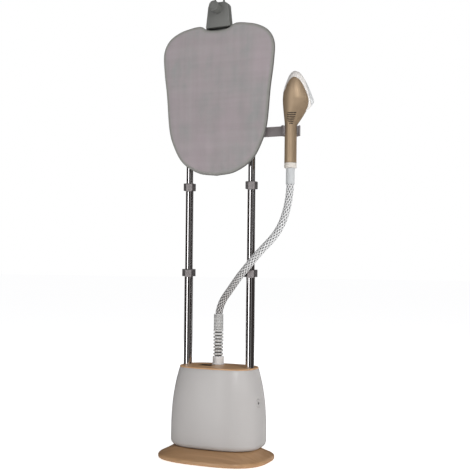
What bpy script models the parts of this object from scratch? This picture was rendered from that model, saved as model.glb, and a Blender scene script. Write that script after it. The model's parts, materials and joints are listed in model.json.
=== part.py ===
"""Upright garment steamer: base with boiler and water tank, two telescopic poles, a press board,
a hanger head and a hand-held steam head on a hose.

Metres, +Z up. The origin is on the floor midway between the poles, +X is to the right of a person who
faces the press board, and +Y is to the back.
"""

import math

import bmesh
import bpy
from mathutils import Matrix, Vector

GAP = 0.0003
CLEAR = 0.010  # how far a cutter runs past what it cuts
BEYOND = 0.5  # further than the body reaches

# Base plate and body
SQUARENESS = 2.8  # power of the superellipse that every outline of the base and body follows
BASE_HALF_WIDTH, BASE_HALF_DEPTH, BASE_Y = 0.1865, 0.1370, -0.010
MAT_TOP, MAT_INSET = 0.0020, 0.014
BASE_PROFILE = [  # height, inset from the rim
    (MAT_TOP, 0.0060), (0.0035, 0.0020), (0.0070, 0.0), (0.0120, 0.0), (0.0165, 0.0025), (0.0200, 0.0090),
    (0.0290, 0.0270), (0.0365, 0.0400), (0.0400, 0.0480),
]
BODY_LOW, BODY_HIGH = 0.0405, 0.2940
BODY_WIDEST_Z, BODY_EDGE = 0.075, 0.018
BODY_HALF_WIDTH, BODY_HALF_WIDTH_TOP = 0.155, 0.130
BODY_HALF_DEPTH, BODY_HALF_DEPTH_TOP = 0.105, 0.080
BODY_TAPER_POWER, BODY_Y = 2.5, 0.006
WALL = 0.003
BODY_FLOOR = BODY_LOW + WALL + GAP
TOP_PLATE_THICK = 0.004
TOP_SURFACE = BODY_HIGH + TOP_PLATE_THICK
SEAM_Y = 0.018
BULKHEAD_FRONT_Y, BULKHEAD_INSET = 0.0145, 0.0040

# Inside the body
BOILER_X, BOILER_Y, BOILER_R = -0.030, -0.035, 0.042
BOILER_LOW, BOILER_TOP, STAND_R, STAND_BORE = 0.080, 0.170, 0.036, 0.030
PUMP_LOW, PUMP_HIGH = (0.035, -0.062), (0.085, -0.022)
PUMP_TOP, PUMP_HEAD_TOP, PUMP_HEAD_R = 0.092, 0.115, 0.014
CIRCUIT_LOW, CIRCUIT_HIGH = (0.018, 0.0085, 0.130), (0.088, 0.0101, 0.210)
STEAM_PIPE_R, FEED_PIPE_R = 0.0045, 0.0030
SOCKET_R, SOCKET_TOP = 0.0175, 0.080
GLAND_Y, GLAND_Z, GLAND_R, GLAND_FLANGE_R, GLAND_BORE = -0.005, 0.072, 0.0060, 0.0090, 0.0036
NOTCH_LOW_Z, NOTCH_HALF, NOTCH_BACK = 0.258, 0.013, 0.016
PANEL_LOW, PANEL_HIGH, PANEL_DEEP = (-0.070, -0.010), (-0.024, 0.026), 0.002

# Poles
POLE_X = 0.111
LOWER_R, LOWER_BORE, LOWER_TOP = 0.0140, 0.0128, 0.603
MIDDLE_R, MIDDLE_BORE, MIDDLE_LOW, MIDDLE_TOP = 0.0125, 0.0113, 0.550, 0.885
UPPER_R, UPPER_BORE, UPPER_LOW, UPPER_TOP = 0.0110, 0.0095, 0.820, 1.355
LOWER_CLAMP_WIDTH, UPPER_CLAMP_WIDTH, CLAMP_DEPTH, CLAMP_HIGH = 0.0380, 0.0335, 0.0310, 0.024
CLAMP_DROP = 0.002  # from a tube's top down to the middle of its clamp
LEVER_LENGTH, LEVER_THICK, LEVER_HIGH, LEVER_AXIS = 0.022, 0.0045, 0.024, (0.0160, -0.0188)
LEVER_DROP, LEVER_PAST_AXIS = 0.0025, 0.002

# Press board
BOARD_BACK_Y, PANEL_THICK, PAD_THICK = -0.025, 0.004, 0.006
BRACKET_HALF, BRACKET_BACK_Y, BRACKET_HIGH = 0.017, 0.016, 0.030
BRACKET_ROWS = (("upper", 1.285), ("lower", 1.090))
BOARD_HALF_OUTLINE = [
    (0.000, 1.3835), (0.030, 1.3862), (0.044, 1.3912), (0.054, 1.3985), (0.068, 1.4020), (0.094, 1.3995),
    (0.138, 1.3888), (0.176, 1.3655), (0.196, 1.3250), (0.1935, 1.2600), (0.184, 1.1850), (0.1735, 1.0720),
    (0.155, 1.0120), (0.122, 0.9590), (0.064, 0.9240), (0.000, 0.9140),
]

# Bridge and hanger head
BRIDGE_LOW, BRIDGE_TOP = 1.335, 1.372
BRIDGE_HALF, BRIDGE_HALF_DEPTH = 0.130, 0.014
HEAD_LOW, HEAD_TOP, HEAD_HALF_LOW, HEAD_HALF_TOP, HEAD_CORNER = 1.394, 1.474, 0.043, 0.036, 0.018
HEAD_FRONT_Y, HEAD_BACK_Y = -0.032, -0.006
POST_HALF, POST_BACK_Y, POST_TOP = 0.026, 0.010, 1.455
POST_FOOT_HALF, POST_FOOT_TOP = 0.055, 1.404
PEG_Z, PEG_R, PEG_LENGTH = 1.4530, 0.0165, 0.035
PRONG_X, PRONG_R, PRONG_TOP = 0.0155, 0.0030, 1.488

# Hose and its fittings
OUTLET = Vector((-0.024, 0.050, 0.0))
COLLAR_R, COLLAR_FLANGE_R, COLLAR_TOP = 0.0188, 0.0215, 0.325
GUARD_R, GUARD_ROOT_R, GUARD_SLEEVE_R, GUARD_RIBS = 0.0168, 0.0120, 0.0160, 8
GUARD_SLEEVE_LOW, GUARD_TOP = 0.414, 0.464
HOSE_R, HOSE_BORE, SLEEVE_BORE = 0.0120, 0.0090, 0.0146
HOSE_START_Z, HOSE_SEAT = 0.440, 0.0010
HOSE_POINTS = 34

# Handset, in its own frame: x towards the steam plate, origin on the handle's axis
HANDSET_X, HANDSET_Y, HANDSET_TURN = 0.2468, -0.0120, math.radians(25)
HANDLE_R, SHELL_WALL, RIM_WALL, TRIGGER_WALL = 0.0190, 0.003, 0.010, 0.0065
CUFF_LOW, CUFF_TOP, CUFF_R, CUFF_BORE = 0.880, 0.931, 0.0140, 0.0125
RING_TOP, RING_R, RING_BORE = 0.9470, 0.0195, 0.0100
CHAMBER_LOW, CHAMBER_HIGH = (0.000, -0.018, 1.125), (0.028, 0.018, 1.172)
STEAM_TUBE_R, STEAM_TUBE_LOW = 0.0045, 0.952
HOSE_END_Z = 0.925
HANDSET_STATIONS = [  # height, back, front, half width
    (0.9475, -HANDLE_R, HANDLE_R, HANDLE_R), (1.0640, -HANDLE_R, HANDLE_R, HANDLE_R),
    (1.0760, -0.0197, 0.0270, 0.0212), (1.0920, -0.0215, 0.0375, 0.0250),
    (1.1080, -0.0232, 0.0470, 0.0300), (1.1220, -0.0246, 0.0600, 0.0345),
    (1.1370, -0.0256, 0.0715, 0.0375), (1.1500, -0.0258, 0.0685, 0.0390),
    (1.1750, -0.0230, 0.0585, 0.0380), (1.2000, -0.0150, 0.0465, 0.0330),
    (1.2200, -0.0065, 0.0340, 0.0240), (1.2300, 0.0010, 0.0250, 0.0140),
    (1.2345, 0.0080, 0.0140, 0.0030),
]
RIM_LINE = [  # where the coloured shell meets the pale rim, seen from the side
    (-0.0400, 1.1500), (-0.0225, 1.1700), (-0.0150, 1.1880), (-0.0050, 1.2045), (0.0070, 1.2105),
    (0.0235, 1.2000), (0.0386, 1.1747), (0.0505, 1.1440), (0.0505, 1.1220), (0.0465, 1.1080),
    (0.0650, 1.0950),
]
SHELL_MIDDLE = Vector((0.005, 0.0, 1.150))
PLATE_LINE = [(0.0360, 1.2300), (0.0640, 1.1150)]
HOLDER_LOW, HOLDER_HIGH, HOLDER_R = 1.033, 1.063, 0.0170
ARM_HALF, ARM_START, ARM_SHORT = 0.004, 0.0100, 0.0015  # the last two from the pole and from the handle
CLIP_R, CLIP_MOUTH_HALF, CLIP_MOUTH_Y = 0.0300, 0.024, -0.0065
TRIGGER_LOW, TRIGGER_HIGH, TRIGGER_HALF = 1.074, 1.098, 0.008
TRIGGER_INNER, TRIGGER_OUTER = 0.012, 0.080

# Side button and filler
BUTTON_Y, BUTTON_Z, BUTTON_R, BUTTON_THICK = -0.015, 0.190, 0.0125, 0.006
MOUTH_X, MOUTH_Z, MOUTH_WIDE, MOUTH_HIGH = 0.004, 0.252, 0.056, 0.028
VALVE_X, VALVE_FRONT_Y, VALVE_Z, VALVE_R = 0.060, 0.0030, 0.068, 0.0070

for old in list(bpy.data.objects):
    bpy.data.objects.remove(old, do_unlink=True)

PARTS = bpy.data.collections.new("garment_steamer")
CUTTERS = bpy.data.collections.new("garment_steamer_cutters")
for made in (PARTS, CUTTERS):
    bpy.context.scene.collection.children.link(made)


# ---------------------------------------------------------------- materials
def material(name, colour, roughness, metallic=0.0):
    made = bpy.data.materials.new(name)
    made.use_nodes = True
    shader = made.node_tree.nodes["Principled BSDF"]
    shader.inputs["Base Color"].default_value = (*colour, 1.0)
    shader.inputs["Roughness"].default_value = roughness
    shader.inputs["Metallic"].default_value = metallic
    return made


BODY_GREY = material("body_grey", (0.56, 0.55, 0.53), 0.35)
BRONZE = material("bronze_wood", (0.30, 0.18, 0.09), 0.35)
CHROME = material("polished_tube", (0.60, 0.60, 0.60), 0.12, 1.0)
CLAMP_GREY = material("clamp_grey", (0.15, 0.13, 0.13), 0.45)
HEAD_GREY = material("head_grey", (0.16, 0.17, 0.15), 0.50)
FABRIC = material("board_fabric", (0.31, 0.28, 0.28), 0.95)
PANEL_GREY = material("panel_grey", (0.25, 0.25, 0.25), 0.60)
GOLD = material("handset_gold", (0.40, 0.27, 0.15), 0.35, 0.5)
WHITE = material("white_plastic", (0.80, 0.80, 0.78), 0.35)
CREAM = material("cream_plastic", (0.82, 0.79, 0.73), 0.35)
HOSE_GREY = material("hose_grey", (0.70, 0.70, 0.70), 0.70)
BLACK = material("black_gloss", (0.01, 0.01, 0.01), 0.15)
RUBBER = material("black_rubber", (0.02, 0.02, 0.02), 0.80)
STEEL = material("plain_steel", (0.55, 0.55, 0.55), 0.30, 1.0)
BRASS = material("brass", (0.60, 0.42, 0.18), 0.30, 1.0)
BOARD_GREEN = material("circuit_green", (0.03, 0.20, 0.08), 0.50)
TANK_GREY = material("tank_grey", (0.50, 0.50, 0.49), 0.30)


# ---------------------------------------------------------------- building helpers
def link(obj, colour=None):
    """Puts an object among the parts, or among the cutters where it has no colour."""
    if colour is None:
        CUTTERS.objects.link(obj)
        obj.hide_render = True
        obj.display_type = "WIRE"
    else:
        PARTS.objects.link(obj)
        obj.data.materials.clear()
        obj.data.materials.append(colour)
    return obj


def from_bmesh(name, bm, colour=None):
    bmesh.ops.recalc_face_normals(bm, faces=bm.faces)
    mesh = bpy.data.meshes.new(name)
    bm.to_mesh(mesh)
    bm.free()
    return link(bpy.data.objects.new(name, mesh), colour)


def box(name, low, high, colour=None):
    low, high = Vector(low), Vector(high)
    bm = bmesh.new()
    bmesh.ops.create_cube(bm, size=1.0)
    bmesh.ops.scale(bm, vec=high - low, verts=bm.verts)
    bmesh.ops.translate(bm, vec=(low + high) / 2, verts=bm.verts)
    return from_bmesh(name, bm, colour)


def rod(name, start, end, radius, colour=None, sides=20):
    """A round bar from one point to another."""
    start, end = Vector(start), Vector(end)
    along = end - start
    turn = along.to_track_quat("Z", "Y").to_matrix().to_4x4()
    bm = bmesh.new()
    bmesh.ops.create_cone(
        bm, cap_ends=True, segments=sides, radius1=radius, radius2=radius, depth=along.length,
        matrix=Matrix.Translation((start + end) / 2) @ turn,
    )
    return from_bmesh(name, bm, colour)


def turned(name, profile, centre, colour, steps=20):
    """A closed profile of (radius, height) turned about the vertical through centre, down its outside."""
    mesh = bpy.data.meshes.new(name)
    count = len(profile)
    edges = [(i, (i + 1) % count) for i in range(count)]
    mesh.from_pydata([(r, 0.0, z) for r, z in profile], edges, [])
    obj = link(bpy.data.objects.new(name, mesh), colour)
    obj.location = (centre[0], centre[1], 0.0)
    screw = obj.modifiers.new("turn", "SCREW")
    screw.steps = steps
    screw.render_steps = steps
    screw.use_merge_vertices = True
    screw.merge_threshold = 0.00001
    return obj


def tube(name, outer, inner, low, high, centre, colour, steps=20):
    return turned(name, [(outer, high), (outer, low), (inner, low), (inner, high)], centre, colour, steps)


def flat_plate(name, outline, low, high, colour=None):
    """An outline in X and Y as a flat plate from one height to another."""
    curve = bpy.data.curves.new(name + "_outline", "CURVE")
    curve.dimensions = "2D"
    curve.fill_mode = "BOTH"
    curve.extrude = (high - low) / 2
    spline = curve.splines.new("POLY")
    spline.points.add(len(outline) - 1)
    for point, (x, y) in zip(spline.points, outline):
        point.co = (x, y, 0.0, 1.0)
    spline.use_cyclic_u = True
    return mesh_of_curve(name, curve, Matrix.Translation((0.0, 0.0, (low + high) / 2)), colour)


def mesh_of_curve(name, curve, place, colour):
    """The curve as a mesh with welded caps, in world coordinates."""
    guide = bpy.data.objects.new(name + "_guide", curve)
    CUTTERS.objects.link(guide)
    graph = bpy.context.evaluated_depsgraph_get()
    mesh = bpy.data.meshes.new_from_object(guide.evaluated_get(graph))
    bpy.data.objects.remove(guide, do_unlink=True)
    bm = bmesh.new()
    bm.from_mesh(mesh)
    bmesh.ops.remove_doubles(bm, verts=bm.verts, dist=0.00001)
    bmesh.ops.transform(bm, matrix=place, verts=bm.verts)
    return from_bmesh(name, bm, colour)


def upright_plate(name, outline, front, back, colour=None):
    """An outline in X and Z as a plate standing between two depths in Y."""
    plate = flat_plate(name, outline, -back, -front, colour)
    plate.data.transform(Matrix.Rotation(math.pi / 2, 4, "X"))
    return plate


def pipe(name, route, radius, colour, bevel_resolution=2):
    """A tube along the route's points."""
    curve = bpy.data.curves.new(name + "_route", "CURVE")
    curve.dimensions = "3D"
    curve.bevel_depth = radius
    curve.bevel_resolution = bevel_resolution
    curve.use_fill_caps = True
    spline = curve.splines.new("POLY")
    spline.points.add(len(route) - 1)
    for point, place in zip(spline.points, route):
        point.co = (*place, 1.0)
    return mesh_of_curve(name, curve, Matrix.Identity(4), colour)


def smooth_route(points, count):
    """Even points along the Catmull-Rom curve through the route's points."""
    points = [Vector(p) for p in points]
    ends = [2 * points[0] - points[1], *points, 2 * points[-1] - points[-2]]
    fine = []
    for a, b, c, d in zip(ends, ends[1:], ends[2:], ends[3:]):
        for step in range(12):
            t = step / 12
            fine.append(
                0.5 * (2 * b + (c - a) * t + (2 * a - 5 * b + 4 * c - d) * t * t
                       + (3 * b - a - 3 * c + d) * t * t * t)
            )
    fine.append(points[-1])
    lengths = [0.0]
    for p, q in zip(fine, fine[1:]):
        lengths.append(lengths[-1] + (q - p).length)
    route, at = [], 0
    for index in range(count):
        want = lengths[-1] * index / (count - 1)
        while at < len(fine) - 2 and lengths[at + 1] < want:
            at += 1
        share = (want - lengths[at]) / (lengths[at + 1] - lengths[at])
        route.append(fine[at].lerp(fine[at + 1], share))
    return route


def loft(name, rings, colour=None):
    """A closed skin over rings that all have the same number of points."""
    bm = bmesh.new()
    made = [[bm.verts.new(p) for p in ring] for ring in rings]
    count = len(rings[0])
    for lower, upper in zip(made, made[1:]):
        for i in range(count):
            j = (i + 1) % count
            bm.faces.new((lower[i], lower[j], upper[j], upper[i]))
    bm.faces.new(made[0])
    bm.faces.new(made[-1])
    return from_bmesh(name, bm, colour)


def boolean(target, cutter, operation):
    step = target.modifiers.new(cutter.name, "BOOLEAN")
    step.object = cutter
    step.operation = operation
    step.solver = "EXACT"


def cut(target, *cutters):
    for cutter in cutters:
        boolean(target, cutter, "DIFFERENCE")


def keep(target, cutter):
    boolean(target, cutter, "INTERSECT")


def join(target, *others):
    for other in others:
        boolean(target, other, "UNION")


def round_edges(obj, width, segments=2):
    bevel = obj.modifiers.new("rounded", "BEVEL")
    bevel.width = width
    bevel.segments = segments
    bevel.limit_method = "ANGLE"
    bevel.angle_limit = math.radians(40)


def origin_at(obj, point):
    """Moves the object's origin to a point and leaves its shape where it is."""
    point = Vector(point)
    obj.data.transform(Matrix.Translation(-point))
    obj.location = point
    return obj


def superellipse(half_w, half_d, centre_y, count=36):
    """An oval between an ellipse and a rectangle, in X and Y."""
    points = []
    for step in range(count):
        angle = 2 * math.pi * (step + 0.5) / count
        x, y = math.cos(angle), math.sin(angle)
        points.append((math.copysign(abs(x) ** (2 / SQUARENESS), x) * half_w,
                       math.copysign(abs(y) ** (2 / SQUARENESS), y) * half_d + centre_y))
    return points


# ---------------------------------------------------------------- base plate and body
def body_ring(z, inset):
    """The body's outline at a height: it narrows upwards and its lower edge is rounded in."""
    share = max(0.0, (z - BODY_WIDEST_Z) / (BODY_HIGH - BODY_WIDEST_Z)) ** BODY_TAPER_POWER
    half_w = BODY_HALF_WIDTH - (BODY_HALF_WIDTH - BODY_HALF_WIDTH_TOP) * share
    half_d = BODY_HALF_DEPTH - (BODY_HALF_DEPTH - BODY_HALF_DEPTH_TOP) * share
    below = BODY_LOW + BODY_EDGE - z
    if below > 0:
        inset += BODY_EDGE - math.sqrt(max(0.0, BODY_EDGE ** 2 - below ** 2))
    return [(x, y, z) for x, y in superellipse(half_w - inset, half_d - inset, BODY_Y)]


def body_form(name, inset=0.0, low=BODY_LOW, high=BODY_HIGH - GAP, colour=None):
    edge_top = BODY_LOW + BODY_EDGE
    heights = [low + (edge_top - low) * share for share in (0.0, 0.12, 0.36, 0.70)]
    heights += [edge_top + (high - edge_top) * step / 7 for step in range(8)]
    return loft(name, [body_ring(z, inset) for z in heights], colour)


def make_base():
    rings = []
    for z, inset in BASE_PROFILE:
        outline = superellipse(BASE_HALF_WIDTH - inset, BASE_HALF_DEPTH - inset, BASE_Y)
        rings.append([(x, y, z) for x, y in outline])
    loft("base_plate", rings, BRONZE)
    outline = superellipse(BASE_HALF_WIDTH - MAT_INSET, BASE_HALF_DEPTH - MAT_INSET, BASE_Y)
    flat_plate("floor_mat", outline, 0.0, MAT_TOP - GAP, RUBBER)


def make_housing():
    housing = body_form("front_housing", colour=BODY_GREY)
    inner = body_form("housing_inner", WALL, BODY_LOW + WALL, BODY_HIGH + 0.020)
    front = box("housing_front_half", (-BEYOND, -BEYOND, 0.0), (BEYOND, SEAM_Y - GAP / 2, BEYOND))
    cut(housing, inner)
    keep(housing, front)
    hole = rod("button_hole", (0.120, BUTTON_Y, BUTTON_Z), (0.170, BUTTON_Y, BUTTON_Z), BUTTON_R + 0.0004)
    gland_hole = rod("gland_hole", (-0.170, GLAND_Y, GLAND_Z), (-0.130, GLAND_Y, GLAND_Z), GLAND_R + 0.0005)
    cut(housing, hole, gland_hole)

    bulkhead = body_form("bulkhead", BULKHEAD_INSET, BODY_FLOOR, BODY_HIGH - 2 * GAP, PANEL_GREY)
    slice_box = box("bulkhead_slice", (-BEYOND, BULKHEAD_FRONT_Y, 0.0), (BEYOND, SEAM_Y - GAP, BEYOND))
    keep(bulkhead, slice_box)
    valve_front, valve_back = (VALVE_X, 0.0, VALVE_Z), (VALVE_X, 0.04, VALVE_Z)
    valve_hole = rod("bulkhead_valve_hole", valve_front, valve_back, VALVE_R + 0.001)
    slot_low, slot_high = OUTLET + Vector((-0.012, -0.05, 0.260)), OUTLET + Vector((0.012, -0.01, 0.320))
    pipe_slot = box("bulkhead_pipe_slot", slot_low, slot_high)
    cut(bulkhead, valve_hole, pipe_slot)


def make_power_button():
    button = body_form("power_button", colour=WHITE)
    deeper = body_form("button_inner", BUTTON_THICK, BODY_LOW + WALL, BODY_HIGH + 0.020)
    round_part = rod("button_round", (0.120, BUTTON_Y, BUTTON_Z), (0.170, BUTTON_Y, BUTTON_Z), BUTTON_R)
    origin_at(button, (0.147, BUTTON_Y, BUTTON_Z))
    keep(button, round_part)
    cut(button, deeper)


def make_top_plate():
    ring = body_ring(BODY_HIGH, 0.0)
    plate = flat_plate("top_plate", [(x, y) for x, y, _ in ring], BODY_HIGH, TOP_SURFACE, BRONZE)
    round_edges(plate, 0.0012, 2)
    below, above = Vector((0, 0, 0.25)), Vector((0, 0, 0.35))
    for side in (-1, 1):
        pole = Vector((side * POLE_X, 0, 0))
        cut(plate, rod(f"top_plate_hole_{side}", pole + below, pole + above, LOWER_R + GAP))
    cut(plate, rod("top_plate_outlet", OUTLET + below, OUTLET + above, HOSE_BORE))
    low = Vector((*PANEL_LOW, TOP_SURFACE - PANEL_DEEP))
    high = Vector((*PANEL_HIGH, TOP_SURFACE + PANEL_DEEP))
    cut(plate, box("panel_recess", low, high))
    inset = Vector((GAP, GAP, GAP))
    panel_high = Vector((high.x - GAP, high.y - GAP, TOP_SURFACE - GAP))
    box("control_panel", low + inset, panel_high, BLACK)


def make_inner_parts():
    boiler_place = (BOILER_X, BOILER_Y)
    tube("boiler_stand", STAND_R, STAND_BORE, BODY_FLOOR, BOILER_LOW - GAP, boiler_place, STEEL, 16)
    boiler = rod("boiler", (*boiler_place, BOILER_LOW), (*boiler_place, BOILER_TOP), BOILER_R, STEEL, 20)
    round_edges(boiler, 0.006, 1)
    pump = box("pump", (*PUMP_LOW, BODY_FLOOR), (*PUMP_HIGH, PUMP_TOP), BLACK)
    pump_x, pump_y = (PUMP_LOW[0] + PUMP_HIGH[0]) / 2, (PUMP_LOW[1] + PUMP_HIGH[1]) / 2
    head_low, head_high = (pump_x, pump_y, PUMP_TOP - 0.002), (pump_x, pump_y, PUMP_HEAD_TOP)
    join(pump, rod("pump_head", head_low, head_high, PUMP_HEAD_R, None, 12))
    box("circuit_board", CIRCUIT_LOW, CIRCUIT_HIGH, BOARD_GREEN)

    rise = [(*boiler_place, BOILER_TOP + GAP), (*boiler_place, BOILER_TOP + 0.045), (-0.029, -0.028, 0.252),
            (-0.026, -0.004, 0.271), (-0.024, 0.028, 0.2735), (-0.024, 0.046, 0.277),
            (OUTLET.x, OUTLET.y, BODY_HIGH - 2 * GAP)]
    pipe("steam_pipe", smooth_route(rise, 18), STEAM_PIPE_R, BRASS)
    feed = [(pump_x, pump_y, PUMP_HEAD_TOP + GAP), (pump_x - 0.002, pump_y + 0.002, PUMP_HEAD_TOP + 0.030),
            (0.030, -0.036, BOILER_TOP + 0.018), (-0.002, -0.035, BOILER_TOP + 0.022),
            (-0.010, -0.035, BOILER_TOP + 0.013), (-0.010, -0.035, BOILER_TOP + GAP)]
    pipe("feed_pipe", smooth_route(feed, 14), FEED_PIPE_R, RUBBER)

    behind = box("behind_sockets", (-BEYOND, BULKHEAD_FRONT_Y - GAP, 0.0), (BEYOND, BEYOND, BEYOND))
    for name, side in (("left", -1), ("right", 1)):
        place, bore = (side * POLE_X, 0.0), LOWER_R + GAP
        socket = tube(f"tube_socket_{name}", SOCKET_R, bore, BODY_FLOOR, SOCKET_TOP, place, PANEL_GREY)
        cut(socket, behind)
    flange, length = 0.0035, 0.016
    gland = turned("cord_gland", [(GLAND_R, length), (GLAND_R, flange), (GLAND_FLANGE_R, flange),
                                  (GLAND_FLANGE_R, 0.0), (GLAND_BORE, 0.0), (GLAND_BORE, length)],
                   (0, 0), RUBBER, 12)
    gland.rotation_euler = (0.0, math.pi / 2, 0.0)
    gland.location = (-BODY_HALF_WIDTH - flange - GAP, GLAND_Y, GLAND_Z)


# ---------------------------------------------------------------- water tank
def make_tank():
    """The tank is the rear of the body. A notch in its roof leaves room for the steam pipe."""
    half = box("tank_half", (-BEYOND, SEAM_Y + GAP / 2, 0.0), (BEYOND, BEYOND, BEYOND))
    notch_low = Vector((OUTLET.x - NOTCH_HALF, 0.0, NOTCH_LOW_Z))
    notch_high = Vector((OUTLET.x + NOTCH_HALF, OUTLET.y + NOTCH_BACK, BEYOND))
    around = Vector((WALL, WALL, WALL))
    tank = body_form("water_tank", colour=TANK_GREY, high=BODY_HIGH - 2 * GAP)
    keep(tank, half)
    cut(tank, box("tank_notch", notch_low, notch_high))

    hollow = body_form("tank_hollow", WALL, BODY_LOW + WALL, BODY_HIGH - 2 * GAP - WALL)
    inner_seam = SEAM_Y + GAP / 2 + WALL
    keep(hollow, box("tank_hollow_half", (-BEYOND, inner_seam, 0.0), (BEYOND, BEYOND, BEYOND)))
    cut(hollow, box("tank_hollow_notch", notch_low - around, notch_high + around))
    cut(tank, hollow)

    face = rear_wall_frame()
    mouth_corner = Vector((MOUTH_WIDE / 2, 0.02, MOUTH_HIGH / 2))
    mouth = box("filler_mouth", -mouth_corner, mouth_corner)
    mouth.matrix_world = face
    cut(tank, mouth)
    rod("tank_valve", (VALVE_X, VALVE_FRONT_Y, VALVE_Z), (VALVE_X, SEAM_Y, VALVE_Z), VALVE_R, RUBBER, 16)
    outer, inner, depth = VALVE_R + 0.0045, VALVE_R + 0.0010, 0.008
    socket = tube("valve_socket", outer, inner, 0.0, depth, (0, 0), PANEL_GREY, 16)
    socket.rotation_euler = (math.pi / 2, 0.0, 0.0)
    socket.location = (VALVE_X, BULKHEAD_FRONT_Y - GAP, VALVE_Z)
    make_filler_flap(face)


def rear_wall_frame():
    """A frame on the rear wall at the filler mouth, with Y out of the leaning wall."""
    def rear_y(z):
        return max(y for _, y, _ in body_ring(z, 0.0))

    step = 0.012
    lean = math.atan2(rear_y(MOUTH_Z - step) - rear_y(MOUTH_Z + step), 2 * step)
    return Matrix.Translation((MOUTH_X, rear_y(MOUTH_Z), MOUTH_Z)) @ Matrix.Rotation(lean, 4, "X")


def make_filler_flap(face):
    """A lid over the filler mouth, on a barrel that turns about a pin along its lower edge."""
    half_wide, half_high, off, thick = MOUTH_WIDE / 2 + 0.005, MOUTH_HIGH / 2 + 0.005, 0.0008, 0.0025
    knuckle_r, bore_r, pin_r = 0.0028, 0.0013, 0.0010
    barrel = (0.0, off + knuckle_r, -half_high - 0.0015)
    axis = face @ Vector(barrel)
    place = Matrix.Translation(-Vector(barrel))
    flap = box("filler_flap", (-half_wide, off, -half_high), (half_wide, off + thick, half_high), TANK_GREY)
    reach = half_wide - 0.012
    knuckle = rod("flap_knuckle", (-reach, *barrel[1:]), (reach, *barrel[1:]), knuckle_r, None, 12)
    flap.data.transform(place)
    knuckle.data.transform(place)
    turn = face.to_3x3().to_4x4()
    for obj in (flap, knuckle):
        obj.matrix_world = Matrix.Translation(axis) @ turn
    join(flap, knuckle)
    bore = rod("flap_pin_bore", (-0.05, 0, 0), (0.05, 0, 0), bore_r, None, 10)
    bore.matrix_world = Matrix.Translation(axis) @ turn
    cut(flap, bore)
    pin = rod("flap_pin", (-half_wide, 0, 0), (half_wide, 0, 0), pin_r, STEEL, 10)
    pin.matrix_world = Matrix.Translation(axis) @ turn


# ---------------------------------------------------------------- poles and clamps
def make_clamp(name, x, z, bore, width):
    """A collar round the top of a tube."""
    low = (x - width / 2, -CLAMP_DEPTH / 2, z - CLAMP_HIGH / 2)
    high = (x + width / 2, CLAMP_DEPTH / 2, z + CLAMP_HIGH / 2)
    clamp = box(name, low, high, CLAMP_GREY)
    round_edges(clamp, 0.004, 2)
    reach = CLAMP_HIGH / 2 + CLEAR
    cut(clamp, rod(name + "_bore", (x, 0, z - reach), (x, 0, z + reach), bore + GAP))


def make_lever(name, x, z):
    """The clamp's flip lever. It turns about the upright pin at its right-hand end."""
    axis = (x + LEVER_AXIS[0], LEVER_AXIS[1], z - LEVER_DROP)
    low = (LEVER_PAST_AXIS - LEVER_LENGTH, -LEVER_THICK / 2 + 0.0005, -LEVER_HIGH / 2)
    high = (LEVER_PAST_AXIS, LEVER_THICK / 2 + 0.0005, LEVER_HIGH / 2)
    lever = box(name, low, high, CLAMP_GREY)
    lever.location = axis
    round_edges(lever, 0.0012, 2)


def make_poles():
    for name, side in (("left", -1), ("right", 1)):
        x = side * POLE_X
        place = (x, 0.0)
        tube(f"lower_tube_{name}", LOWER_R, LOWER_BORE, BODY_FLOOR, LOWER_TOP, place, CHROME)
        tube(f"middle_tube_{name}", MIDDLE_R, MIDDLE_BORE, MIDDLE_LOW, MIDDLE_TOP, place, CHROME)
        tube(f"upper_tube_{name}", UPPER_R, UPPER_BORE, UPPER_LOW, UPPER_TOP, place, CHROME)
        make_clamp(f"lower_clamp_{name}", x, LOWER_TOP - CLAMP_DROP, LOWER_R, LOWER_CLAMP_WIDTH)
        make_clamp(f"upper_clamp_{name}", x, MIDDLE_TOP - CLAMP_DROP, MIDDLE_R, UPPER_CLAMP_WIDTH)
        make_lever(f"lower_lever_{name}", x, LOWER_TOP - CLAMP_DROP)
        make_lever(f"upper_lever_{name}", x, MIDDLE_TOP - CLAMP_DROP)


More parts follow.
